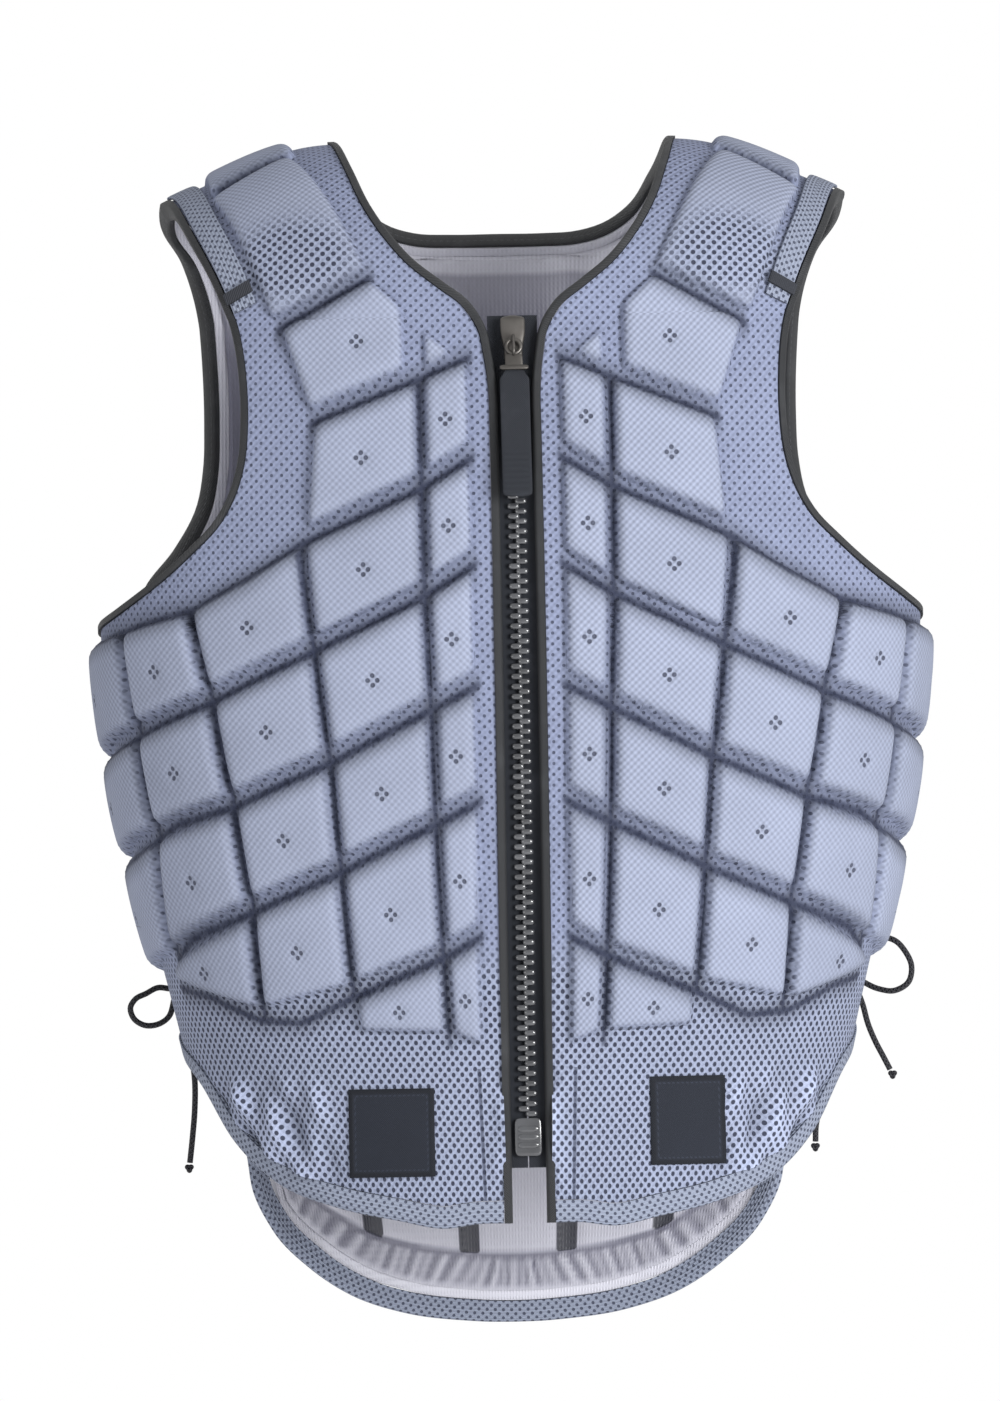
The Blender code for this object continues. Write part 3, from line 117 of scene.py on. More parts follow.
# Grooves of the front that run down it, and those that slope outwards, the same shares as the outline.
# The last number of a sloping groove is its drop where it reaches the side.
DOWN_GROOVES = (
    ((0.107, 0.150), (0.107, 0.177), (0.105, 0.373), (0.105, 0.488), (0.102, 0.598), (0.105, 0.728),
     (0.098, 0.860)),
    ((0.235, 0.130), (0.232, 0.196), (0.229, 0.397), (0.217, 0.520), (0.205, 0.693), (0.193, 0.789),
     (0.183, 0.850)),
    ((0.582, 0.120), (0.575, 0.140), (0.495, 0.238), (0.512, 0.328), (0.526, 0.362), (0.499, 0.447),
     (0.457, 0.577), (0.434, 0.694), (0.402, 0.845)),
    ((0.795, 0.395), (0.790, 0.411), (0.768, 0.445), (0.744, 0.494), (0.699, 0.587), (0.654, 0.691),
     (0.622, 0.830)),
    ((0.950, 0.400), (0.940, 0.445), (0.929, 0.464), (0.910, 0.537), (0.861, 0.641), (0.837, 0.709),
     (0.815, 0.800)),
)
SLIT = ((0.200, 0.150), (0.234, 0.133), (0.341, 0.098), (0.568, 0.147), (0.600, 0.155))
SLOPING_GROOVES = (
    ((0.080, 0.168), (0.107, 0.176), (0.233, 0.196), (0.498, 0.237), (0.520, 0.242)),
    ((0.080, 0.265), (0.105, 0.271), (0.232, 0.300), (0.529, 0.352), (0.646, 0.383), (0.707, 0.395),
     (0.780, UNDERARM_DROP - 0.017), (0.946, UNDERARM_DROP + 0.003)),
    ((0.080, 0.367), (0.105, 0.373), (0.229, 0.402), (0.471, 0.448), (0.739, 0.499), (0.912, 0.531)),
    ((0.080, 0.482), (0.105, 0.488), (0.222, 0.511), (0.446, 0.556), (0.690, 0.599), (0.829, 0.615),
     (0.898, 0.642)),
    ((0.080, 0.594), (0.102, 0.598), (0.210, 0.619), (0.439, 0.663), (0.644, 0.699), (0.798, 0.725),
     (0.837, 0.753)),
    ((0.080, 0.722), (0.105, 0.727), (0.195, 0.746), (0.439, 0.787), (0.539, 0.806), (0.641, 0.803),
     (0.756, 0.780), (0.840, 0.768)),
    ((0.080, 0.848), (0.098, 0.844), (0.185, 0.830), (0.263, 0.832), (0.402, 0.827), (0.539, 0.812)),
)
SIDE_SHARES = (0.0495, 0.3391, 0.5767, 0.8391)
SIDE_DROPS = (
    None,
    *(UNDERARM_DROP + share * (SIDE_FOOT_DROP - UNDERARM_DROP) for share in SIDE_SHARES),
    None,
    None,
)
# Rows of tiles: upper groove, lower groove, first column and last column
TILE_ROWS = ((0, 1, 0, 1), (1, 2, 0, 4), (2, 3, 0, 4), (3, 4, 0, 4), (4, 5, 0, 3), (5, 6, 0, 1))
SHOULDER_PAD = ((0.345, 0.092), (0.580, 0.138), (0.716, 0.024), (0.520, -0.016))
CREST_PAD = ((0.505, -0.019), (0.716, 0.019))
NECK_TILE = ((0.222, 0.190), (0.222, 0.146), (0.140, 0.172))

# Back tiles: columns as shares of the back's half girth, rows as shares of FRONT_DROP
BACK_COLUMNS = (0.13, 0.42, 0.70, 0.95)
BACK_ROWS = (0.120, 0.235, 0.350, 0.465, 0.580, 0.695, 0.810, 0.915)
BACK_SLOPE = 0.22
BACK_MARGIN = 0.004

# Patches: x and drop of the centre as shares of HALF_CHEST and FRONT_DROP, and the width in metres
LABELS = {"l": (0.389, 0.905, 0.0375), "r": (0.329, 0.912, 0.0420)}

# Routes of the loose lace, in metres, for the wearer's left, then the wearer's right
LOOP_ROUTES = {
    "l": (
        (0.1790, 0.0340, -0.3900), (0.1850, 0.0300, -0.3850),
        (0.1910, 0.0270, -0.3868), (0.1955, 0.0260, -0.3920), (0.1985, 0.0260, -0.3990),
        (0.1968, 0.0270, -0.4075), (0.1900, 0.0290, -0.4115), (0.1820, 0.0330, -0.4105),
    ),
    "r": (
        (-0.1790, 0.0340, -0.4030), (-0.1850, 0.0310, -0.4058),
        (-0.1905, 0.0290, -0.4085), (-0.1930, 0.0285, -0.4125), (-0.1915, 0.0290, -0.4180),
        (-0.1865, 0.0305, -0.4215), (-0.1800, 0.0330, -0.4215), (-0.1740, 0.0360, -0.4180),
    ),
}
END_ROUTES = {
    "end_l": (
        (0.1740, 0.0340, -0.4180), (0.1765, 0.0330, -0.4280),
        (0.1800, 0.0310, -0.4370), (0.1840, 0.0300, -0.4450), (0.1870, 0.0300, -0.4510),
    ),
    "tail_l": (
        (0.1650, 0.0440, -0.4230), (0.1625, 0.0470, -0.4380),
        (0.1580, 0.0480, -0.4530), (0.1530, 0.0480, -0.4670), (0.1500, 0.0470, -0.4790),
        (0.1496, 0.0460, -0.4865),
    ),
    "end_r": (
        (-0.1640, 0.0430, -0.4220), (-0.1625, 0.0420, -0.4370),
        (-0.1612, 0.0400, -0.4500), (-0.1615, 0.0390, -0.4640), (-0.1630, 0.0380, -0.4790),
        (-0.1645, 0.0370, -0.4910),
    ),
}
KNOT_PLACES = {"l": (0.1690, 0.0400, -0.4040), "r": (-0.1690, 0.0400, -0.4040)}


def spow(value: np.ndarray, power: float) -> np.ndarray:
    """The value's size to a power, with its sign kept."""
    return np.sign(value) * np.abs(value) ** power


def unit(vectors: np.ndarray) -> np.ndarray:
    """Vectors scaled to length one."""
    return vectors / np.linalg.norm(vectors, axis=-1, keepdims=True)


def run_lengths(points: np.ndarray) -> np.ndarray:
    """Length along a path up to each of its points."""
    return np.concatenate([[0.0], np.cumsum(np.linalg.norm(np.diff(points, axis=0), axis=1))])


def path_length(points: np.ndarray) -> float:
    """Length of a path through points."""
    return float(run_lengths(points)[-1])


def hermite(rows: np.ndarray, values: np.ndarray, tangent: np.ndarray, at: np.ndarray) -> np.ndarray:
    """Cubics between rows that have a value and a slope each.

    Args:
        rows: places of the rows, rising.
        values: value of each row, a number or a point.
        tangent: slope at each row.
        at: places to read, within the rows.

    Returns:
        (1 + 2s)(1 - s)^2 a + s^2 (3 - 2s) b + step s (1 - s) ((1 - s) p - s q), for the share s of
        the step between values a and b with slopes p and q.
    """
    row = np.clip(np.searchsorted(rows, at) - 1, 0, len(rows) - 2)
    shape = (-1,) + (1,) * (np.ndim(values) - 1) if np.ndim(values) > 1 else np.shape(at)
    step = (rows[row + 1] - rows[row]).reshape(shape)
    s = (at - rows[row]).reshape(shape) / step
    bend = (1 - s) * tangent[row] - s * tangent[row + 1]
    return (
        (1 + 2 * s) * (1 - s) ** 2 * values[row]
        + s**2 * (3 - 2 * s) * values[row + 1]
        + step * s * (1 - s) * bend
    )


def smooth_table(rows: np.ndarray, values: np.ndarray, at: np.ndarray) -> np.ndarray:
    """Read a table along a monotone cubic through its rows.

    Args:
        rows: places of the rows, rising.
        values: value of each row.
        at: places to read.

    Returns:
        The value at each place, with the mean slope beside each row as its tangent.
    """
    slope = np.diff(values) / np.diff(rows)
    limit = 3 * np.minimum(np.abs(slope[:-1]), np.abs(slope[1:]))
    inner = np.where(slope[:-1] * slope[1:] > 0, (slope[:-1] + slope[1:]) / 2, 0.0)
    tangent = np.concatenate([slope[:1], np.clip(inner, -limit, limit), slope[-1:]])
    return hermite(rows, values, tangent, np.clip(at, rows[0], rows[-1]))


def smoothstep(low: float, high: float, value: np.ndarray) -> np.ndarray:
    """Rise from 0 at low to 1 at high along 3t^2 - 2t^3."""
    t = np.clip((value - low) / (high - low), 0.0, 1.0)
    return t * t * (3 - 2 * t)


def curve_through(points: np.ndarray, spacing: float) -> np.ndarray:
    """Smooth curve through points, read at an even spacing.

    Args:
        points: route points, one row each, in any number of dimensions.
        spacing: distance between the points that are read.

    Returns:
        Points along the Hermite cubic whose tangents are the route's central differences.
    """
    points = np.asarray(points, float)
    chord = run_lengths(points)
    fine = np.linspace(0.0, chord[-1], 40 * len(points))
    dense = hermite(chord, points, np.gradient(points, chord, axis=0), fine)
    length = run_lengths(dense)
    at = np.linspace(0.0, length[-1], max(2, round(length[-1] / spacing) + 1))
    return np.stack([np.interp(at, length, column) for column in dense.T], axis=1)


def crossing(one: np.ndarray, other: np.ndarray) -> np.ndarray:
    """Point where two paths in the plane first cross, from the cross products of their stretches."""
    a, b = one[:-1, None], np.diff(one, axis=0)[:, None]
    c, d = other[None, :-1], np.diff(other, axis=0)[None]
    det = b[..., 0] * d[..., 1] - b[..., 1] * d[..., 0]
    det = np.where(np.abs(det) < 1e-14, 1e-14, det)
    gap = c - a
    s = (gap[..., 0] * d[..., 1] - gap[..., 1] * d[..., 0]) / det
    t = (gap[..., 0] * b[..., 1] - gap[..., 1] * b[..., 0]) / det
    i, j = np.argwhere((s >= 0) & (s <= 1) & (t >= 0) & (t <= 1))[0]
    return one[i] + s[i, j] * (one[i + 1] - one[i])


@dataclass(frozen=True)
class Shell:
    """The vest's curved body: a superellipse section, closed over the shoulders by an arch."""

    half_chest: float = 0.205
    front_depth: float = 0.130
    back_depth: float = 0.126
    front_drop: float = 0.5225
    back_drop: float = 0.575
    arch_foot: float = 0.072
    arch_girth: float = 0.150
    squareness: float = 0.87
    side_turn: float = math.radians(102.0)
    side_gap: float = 0.030
    probe: float = 2e-4

    @cached_property
    def girth_table(self) -> tuple[np.ndarray, np.ndarray]:
        """Turns from the centre front, and the length round the widest section at each."""
        turns = np.linspace(0.0, 2 * math.pi, 4001)
        x = self.half_chest * spow(np.sin(turns), self.squareness)
        depth = np.where(np.cos(turns) > 0, self.front_depth, self.back_depth)
        return turns, run_lengths(np.stack([x, -depth * spow(np.cos(turns), self.squareness)], axis=1))

    @property
    def side_front(self) -> float:
        """Girth of the front half's side edge."""
        return float(self.girth_of(self.side_turn))

    @property
    def side_back(self) -> float:
        """Girth of the back's side edge."""
        return self.side_front + self.side_gap

    @property
    def silhouette(self) -> float:
        """Girth of the widest place, seen from the front."""
        return float(self.girth_of(math.pi / 2))

    @property
    def back_centre(self) -> float:
        """Girth of the middle of the back."""
        return float(self.girth_of(math.pi))

    @property
    def crest_level(self) -> float:
        """Level of the shoulders' crest, where the front meets the back."""
        return self.arch_girth - self.arch_foot

    def girth_of(self, turn: np.ndarray) -> np.ndarray:
        """Length round the section at a turn."""
        turns, girths = self.girth_table
        return np.interp(turn, turns, girths)

    def behind(self, girth: np.ndarray) -> np.ndarray:
        """Girth behind the middle of the place that has this girth in front of it."""
        turns, girths = self.girth_table
        return self.girth_of(math.pi - np.interp(girth, girths, turns))

    def near_half(self, girth: np.ndarray) -> np.ndarray:
        """The same place on the back's left half, for a girth on either half."""
        return np.where(girth > self.back_centre, 2 * self.back_centre - girth, girth)

    def section(self, column: int, height: np.ndarray) -> np.ndarray:
        """One column of the section table at a height."""
        table = np.array(SECTIONS)
        return smooth_table(table[:, 0] * self.front_drop, table[:, column], -height)

    def half_width(self, height: np.ndarray) -> np.ndarray:
        """Half the width at a height, from the sections."""
        return self.half_chest * self.section(1, height)

    def depth_at(self, height: np.ndarray, in_front: np.ndarray) -> np.ndarray:
        """Depth in front of or behind the middle at a height, from the sections."""
        front = self.front_depth * self.section(2, height)
        return np.where(in_front, front, self.back_depth * self.section(3, height))

    def crest_height(self, x: np.ndarray) -> np.ndarray:
        """Height of the shoulders' crest at a distance from the middle."""
        table = np.array(CREST)
        return -self.front_drop * smooth_table(table[:, 0] * self.half_chest, table[:, 1], np.abs(x))

    def girth_on_crest(self, x_share: float) -> float:
        """Girth of a place on the shoulders' crest."""
        widest = self.half_width(np.float64(-self.arch_foot))
        sine = (x_share * self.half_chest / widest) ** (1 / self.squareness)
        return float(self.girth_of(math.asin(sine)))

    def torso(self, place: np.ndarray) -> np.ndarray:
        """Point of the groove floor at each (girth, level).

        Args:
            place: rows of (girth, level).

        Returns:
            Points. The section is x = w spow(sin turn), y = -d spow(cos turn). Above the foot of the
            arch the level turns y by the cosine, and lifts z by the sine, of a quarter turn.
        """
        girth, level = place[:, 0], place[:, 1]
        turns, girths = self.girth_table
        turn = np.sign(girth) * np.interp(np.abs(girth), girths, turns)
        low = np.minimum(level, -self.arch_foot)
        x = self.half_width(low) * spow(np.sin(turn), self.squareness)
        y = -self.depth_at(low, np.cos(turn) > 0) * spow(np.cos(turn), self.squareness)
        rise = np.maximum(level + self.arch_foot, 0.0) / self.arch_girth * math.pi / 2
        z = low + (self.crest_height(x) + self.arch_foot) * np.sin(rise)
        return np.stack([x, y * np.cos(rise), z], axis=1)

    def axes_at(self, place: np.ndarray) -> tuple[np.ndarray, np.ndarray, np.ndarray]:
        """Derivatives along girth and level by central differences, and the outward normal."""
        p = self.probe
        along = (self.torso(place + (p, 0)) - self.torso(place - (p, 0))) / (2 * p)
        up = (self.torso(place + (0, p)) - self.torso(place - (0, p))) / (2 * p)
        return along, up, unit(np.cross(along, up))

    def point(self, place: np.ndarray, out: np.ndarray | float) -> np.ndarray:
        """Point at (girth, level), moved out along the normal."""
        place = np.atleast_2d(place)
        return self.torso(place) + self.axes_at(place)[2] * np.broadcast_to(out, len(place))[:, None]

    def place_of(self, x_share: np.ndarray, drop: np.ndarray, behind: bool = False) -> np.ndarray:
        """(girth, level) of the point seen from the front at x and a drop.

        Args:
            x_share: distance from the middle as a share of half_chest.
            drop: drop as a share of front_drop.
            behind: whether the point is on the back.

        Returns:
            The section and the arch solved backwards: turn = asin(x / w), rise = asin(z / crest).
        """
        x = np.asarray(x_share) * self.half_chest
        z = -np.asarray(drop) * self.front_drop
        sine = np.clip(x / self.half_width(np.minimum(z, -self.arch_foot)), 0.0, 1.0)
        turn = np.arcsin(sine ** (1 / self.squareness))
        girth = self.girth_of(math.pi - turn if behind else turn)
        share = np.clip((z + self.arch_foot) / (self.crest_height(x) + self.arch_foot), 0.0, 1.0)
        arch = -self.arch_foot + self.arch_girth * np.arcsin(share) / (math.pi / 2)
        return np.stack([girth, np.where(z > -self.arch_foot, arch, z)], axis=-1)

    def places(self, table: tuple, behind: bool = False, scale: float = 1.0) -> np.ndarray:
        """The (girth, level) of each row of an outline table."""
        shares = np.array(table)
        return self.place_of(shares[:, 0], shares[:, 1] * scale, behind)

    def level_line(self, drop: float, girths: list[float]) -> np.ndarray:
        """Places at one drop, at several girths."""
        return np.array([(girth, -drop * self.front_drop) for girth in girths])

    def shifted(self, path: np.ndarray, distance: np.ndarray | float) -> np.ndarray:
        """A path on the shell moved sideways to its left.

        Args:
            path: rows of (girth, level).
            distance: how far, measured on the surface.

        Returns:
            The path plus the surface vector normal x heading, solved for its girth and level parts.
        """
        along, up, normal = self.axes_at(path)
        left = unit(np.cross(normal, np.gradient(self.torso(path), axis=0)))
        left = left * np.broadcast_to(distance, len(path))[:, None]
        aa, ab, bb = (along * along).sum(1), (along * up).sum(1), (up * up).sum(1)
        a, b = (left * along).sum(1), (left * up).sum(1)
        det = aa * bb - ab * ab
        return path + np.stack([(a * bb - b * ab) / det, (b * aa - a * ab) / det], axis=1)

    def trimmed(self, path: np.ndarray, start: float = 0.0, end: float = 0.0) -> np.ndarray:
        """A path with lengths taken off its two ends."""
        length = run_lengths(self.torso(path))
        low, high = start, length[-1] - end
        keep = (length > low + 1e-4) & (length < high - 1e-4)
        at = np.concatenate([[low], length[keep], [high]])
        return np.stack([np.interp(at, length, column) for column in path.T], axis=1)


SHELL = Shell()


@dataclass(frozen=True)
class Edges:
    """The outer edges of the front half and of the back, as paths of (girth, level).

    Each path runs anticlockwise round its panel, so that the panel is on its left.
    """

    zip_half_gap: float = 0.0085
    step: float = 0.004

    @property
    def zip_share(self) -> float:
        """The zip edge's distance from the middle as a share of half_chest."""
        return self.zip_half_gap / SHELL.half_chest

    def front_hem(self) -> np.ndarray:
        """Front hem, from the zip round to the side."""
        s = SHELL
        return curve_through(np.concatenate([
            s.place_of([self.zip_share], [1.0]),
            s.places(FRONT_HEM),
            s.level_line(SIDE_FOOT_DROP + FRONT_SIDE_DIP, [s.silhouette]),
            s.level_line(SIDE_FOOT_DROP, [s.side_front]),
        ]), self.step)

    def front_arm(self) -> np.ndarray:
        """Front armhole, from the side up to the shoulder."""
        s = SHELL
        return curve_through(np.concatenate([
            s.level_line(UNDERARM_DROP, [s.side_front]),
            s.level_line(UNDERARM_DROP - UNDERARM_RISE, [s.silhouette]),
            s.places(FRONT_ARMHOLE),
            [[s.girth_on_crest(SHOULDER_END), s.crest_level]],
        ]), self.step)

    def front_neck(self) -> np.ndarray:
        """Neckline and zip edge, from the shoulder down to the hem."""
        s = SHELL
        return curve_through(np.concatenate([
            [[s.girth_on_crest(NECK_END), s.crest_level]],
            s.places(FRONT_NECK)[::-1],
            s.place_of(*NECK_FOOT)[None],
            s.place_of([self.zip_share] * len(ZIP_EDGE_DROPS), ZIP_EDGE_DROPS),
        ]), self.step)

    def back_hem_half(self) -> np.ndarray:
        """Back hem, from the left side to the middle of the back."""
        s = SHELL
        return np.concatenate([
            s.level_line(SIDE_FOOT_DROP, [s.side_back]),
            s.level_line(SIDE_FOOT_DROP + BACK_SIDE_DIP, [s.side_back + BACK_SIDE_RUN]),
            s.places(BACK_HEM, behind=True, scale=s.back_drop / s.front_drop)[::-1],
        ])

    def back_neck_half(self) -> np.ndarray:
        """Back neckline, from the left shoulder to the middle."""
        s = SHELL
        end = [[s.behind(s.girth_on_crest(NECK_END)), s.crest_level]]
        return np.concatenate([end, s.places(BACK_NECK, behind=True)])

    def back_arm(self) -> np.ndarray:
        """Back armhole, from the left shoulder down to the side."""
        s = SHELL
        return curve_through(np.concatenate([
            [[s.behind(s.girth_on_crest(SHOULDER_END)), s.crest_level]],
            s.places(BACK_ARMHOLE, behind=True)[::-1],
            s.level_line(UNDERARM_DROP, [s.side_back]),
        ]), self.step)

    def across_back(self, half: np.ndarray) -> np.ndarray:
        """A half path carried on to the wearer's right as its reflection in the middle of the back."""
        mirror = (half * (-1, 1) + (2 * SHELL.back_centre, 0))[::-1]
        return curve_through(np.concatenate([half, mirror[1:]]), self.step)


EDGES = Edges()


@dataclass
class Surface:
    """A mesh before it is a Blender object, with one UV pair for each face corner."""

    points: np.ndarray
    faces: list
    corner_uv: np.ndarray
    values: dict[str, np.ndarray] = field(default_factory=dict)
    spots: np.ndarray | None = None
    slots: np.ndarray | None = None


def grid_faces(rows: int, columns: int, index: np.ndarray | None = None) -> np.ndarray:
    """Quads of a grid of points numbered row by row, or by an index of the same shape."""
    index = np.arange(rows * columns).reshape(rows, columns) if index is None else index
    return np.stack([index[:-1, :-1], index[:-1, 1:], index[1:, 1:], index[1:, :-1]], -1).reshape(-1, 4)


def thick_sheet(outer: np.ndarray, inner: np.ndarray, quads: np.ndarray, uv: np.ndarray) -> Surface:
    """A closed solid between two sheets that share a grid.

    Args:
        outer: points of the outer sheet.
        inner: points of the inner sheet, in the same order.
        quads: quads of the outer sheet.
        uv: one UV pair for each point.

    Returns:
        The outer quads, the inner quads turned round, and a rim quad on each side that only one quad
        has. Material slot 1 is the inner sheet's.
    """
    count = len(outer)
    sides = np.concatenate([quads[:, [i, (i + 1) % 4]] for i in range(4)])
    key = np.sort(sides, axis=1) @ np.array([count, 1])
    _, first, times = np.unique(key, return_index=True, return_counts=True)
    rim = sides[first[times == 1]]
    rim_quads = np.stack([rim[:, 1], rim[:, 0], rim[:, 0] + count, rim[:, 1] + count], axis=1)
    faces = np.concatenate([quads, quads[:, ::-1] + count, rim_quads])
    slots = np.repeat([0, 1, 1], [len(quads), len(quads), len(rim_quads)])
    both = np.concatenate([uv, uv])
    return Surface(np.concatenate([outer, inner]), faces.tolist(), both[faces.ravel()], slots=slots)


def ring_quads(spans: int, sides: int, count: int) -> np.ndarray:
    """Quads over the spans between rings of points, numbered ring by ring, of which there are count."""
    i, j = np.divmod(np.arange(spans * sides), sides)
    k, n = (j + 1) % sides, (i + 1) % count
    return np.stack([i * sides + k, i * sides + j, n * sides + j, n * sides + k], axis=1)


def sweep(rings: np.ndarray, round_trip: bool = False) -> Surface:
    """A closed solid through rings of points.

    Args:
        rings: points, by ring and then round the ring.
        round_trip: whether the last ring joins the first.

    Returns:
        Quads between neighbouring rings, with flat ends unless it is a round trip. The UV is the
        length along the rings' centres and the length round the mean ring, in metres.
    """
    count, sides = rings.shape[:2]
    spans = count if round_trip else count - 1
    centre = rings.mean(1)
    along = run_lengths(np.concatenate([centre, centre[:1]]))
    loop = np.concatenate([rings, rings[:, :1]], axis=1)
    around = np.linalg.norm(np.diff(loop, axis=1), axis=2).mean(0)
    around = np.concatenate([[0.0], np.cumsum(around)])
    i, j = np.divmod(np.arange(spans * sides), sides)
    u = np.stack([along[i], along[i], along[i + 1], along[i + 1]], axis=1)
    v = np.stack([around[j + 1], around[j], around[j], around[j + 1]], axis=1)
    uv = np.stack([u, v], axis=-1).reshape(-1, 2)
    faces = ring_quads(spans, sides, count).tolist()
    if not round_trip:
        last = (count - 1) * sides
        faces += [list(range(sides)), list(range(last + sides - 1, last - 1, -1))]
        ends = np.stack([np.zeros(sides), around[:-1]], axis=1)
        uv = np.concatenate([uv, ends, ends[::-1] + (along[count - 1], 0)])
    return Surface(rings.reshape(-1, 3), faces, uv)


def tube(path: np.ndarray, radius: np.ndarray | float, sides: int = 12, round_trip: bool = False) -> Surface:
    """A round solid along a path.

    Args:
        path: points of the centreline.
        radius: radius at each point.
        sides: points round each ring.
        round_trip: whether the path closes on itself.

    Returns:
        Rings in the plane of two axes square to the path. The first axis is carried along by taking
        off its part along the path, which keeps the rings from twisting.
    """
    if round_trip:
        heading = np.roll(path, -1, axis=0) - np.roll(path, 1, axis=0)
    else:
        heading = np.gradient(path, axis=0)
    heading = unit(heading)
    start = np.eye(3)[np.argmin(np.abs(heading[0]))]
    firsts = []
    for way in heading:
        start = unit(start - way * (start @ way))
        firsts.append(start)
    first = np.array(firsts)
    second = np.cross(heading, first)
    turn = np.linspace(0, 2 * math.pi, sides, endpoint=False)
    radius = np.broadcast_to(radius, len(path))[:, None, None]
    ring = first[:, None] * np.cos(turn)[None, :, None] + second[:, None] * np.sin(turn)[None, :, None]
    return sweep(path[:, None] + ring * radius, round_trip)


def rounded_block(size: np.ndarray, around: int = 12, rings: int = 6, power: float = 0.35) -> Surface:
    """A block with soft edges: a superellipsoid, spow(cos) and spow(sin) of two angles, by its size.

    Args:
        size: whole width, depth and height.
        around: points round each ring.
        rings: rings between the two poles.
        power: 1 for an ellipsoid, less for a squarer block.

    Returns:
        The closed block about the origin.
    """
    turn = np.linspace(0, 2 * math.pi, around, endpoint=False) + math.pi / around
    tilt = np.linspace(-math.pi / 2, math.pi / 2, rings + 2)[1:-1, None]
    width, height = spow(np.cos(tilt), power), np.repeat(spow(np.sin(tilt), power), around, axis=1)
    ring = np.stack([width * spow(np.cos(turn), power), width * spow(np.sin(turn), power), height], axis=-1)
    ring = ring.reshape(-1, 3)
    points = np.concatenate([ring, [[0, 0, -1], [0, 0, 1]]]) * np.asarray(size) / 2
    quads = ring_quads(rings - 1, around, rings)[:, ::-1]
    edge = np.arange(around)
    after, last, pole = (edge + 1) % around, (rings - 1) * around, np.full(around, rings * around)
    foot = np.stack([after, edge, pole], axis=1)
    top = np.stack([edge + last, after + last, pole + 1], axis=1)
    faces = quads.tolist() + foot.tolist() + top.tolist()
    corners = np.concatenate([np.array(face) for face in faces])
    return Surface(points, faces, points[corners][:, [0, 2]])


def repeated(shape: Surface, centres: np.ndarray, axes: np.ndarray) -> Surface:
    """One mesh of many copies of a shape.

    Args:
        shape: the shape, about the origin.
        centres: where each copy goes.
        axes: each copy's three axes, as the rows of a 3 x 3 array.

    Returns:
        Points p axes + centre for every copy, in one mesh.
    """
    points = (np.einsum("pi,cij->cpj", shape.points, axes) + centres[:, None]).reshape(-1, 3)
    size = len(shape.points)
    faces = [[i + size * copy for i in face] for copy in range(len(centres)) for face in shape.faces]
    return Surface(points, faces, np.tile(shape.corner_uv, (len(centres), 1)))


def combined(parts: list[Surface]) -> Surface:
    """Several meshes as one, each with its own points."""
    faces, start = [], 0
    for part in parts:
        faces += [[i + start for i in face] for face in part.faces]
        start += len(part.points)
    points = np.concatenate([part.points for part in parts])
    return Surface(points, faces, np.concatenate([part.corner_uv for part in parts]))


def make_piece(
    name: str,
    surface: Surface,
    materials: list[bpy.types.Material],
    replaces: tuple[str, ...] = (),
    body: str = "shell",
    mirror: bool = False,
) -> bpy.types.Object:
    """A named piece of the visual model, on its body and in place of its solids.

    Args:
        name: the piece's name.
        surface: its mesh.
        materials: its finishes, in the order of the surface's slots.
        replaces: names of the frame's nodes it stands for.
        body: the body it rides on.
        mirror: whether it is the wearer's right-hand twin of the surface.

    Returns:
        The object, at the origin.
    """
    points = surface.points * ((-1, 1, 1) if mirror else (1, 1, 1))
    mesh = bpy.data.meshes.new(name)
    mesh.from_pydata(points.tolist(), [], surface.faces)
    corners = np.empty(len(mesh.loops), np.int32)
    mesh.loops.foreach_get("vertex_index", corners)
    layer = mesh.uv_layers.new(name="cloth")
    layer.data.foreach_set("uv", np.asarray(surface.corner_uv, np.float32).ravel())
    if surface.spots is not None:
        spot = mesh.uv_layers.new(name="spot")
        spot.data.foreach_set("uv", surface.spots[corners].astype(np.float32).ravel())
    for key, value in surface.values.items():
        attribute = mesh.attributes.new(key, "FLOAT", "POINT")
        attribute.data.foreach_set("value", value.astype(np.float32))
    if surface.slots is not None:
        mesh.polygons.foreach_set("material_index", surface.slots.astype(np.int32))
    mesh.calc_loop_triangles()
    found = np.empty(len(mesh.loop_triangles) * 3, np.int32)
    mesh.loop_triangles.foreach_get("vertices", found)
    if np.linalg.det(points[found.reshape(-1, 3)]).sum() < 0:
        mesh.flip_normals()
    mesh.shade_smooth()
    mesh.set_sharp_from_angle(angle=math.radians(50))
    for material in materials:
        mesh.materials.append(material)
    made = bpy.data.objects.new(name, mesh)
    bpy.context.scene.collection.objects.link(made)
    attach(made, body)
    if replaces:
        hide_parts(*replaces)
    log.info("%s: %d triangles on %s", name, len(found) // 3, body)
    return made


class Op(Enum):
    """The Math node operations that the finishes use."""

    ADD = "ADD"
    SUBTRACT = "SUBTRACT"
    MULTIPLY = "MULTIPLY"
    DIVIDE = "DIVIDE"
    SINE = "SINE"
    ABSOLUTE = "ABSOLUTE"
    FRACTION = "FRACT"
    MINIMUM = "MINIMUM"
    MAXIMUM = "MAXIMUM"
    SQUARE_ROOT = "SQRT"


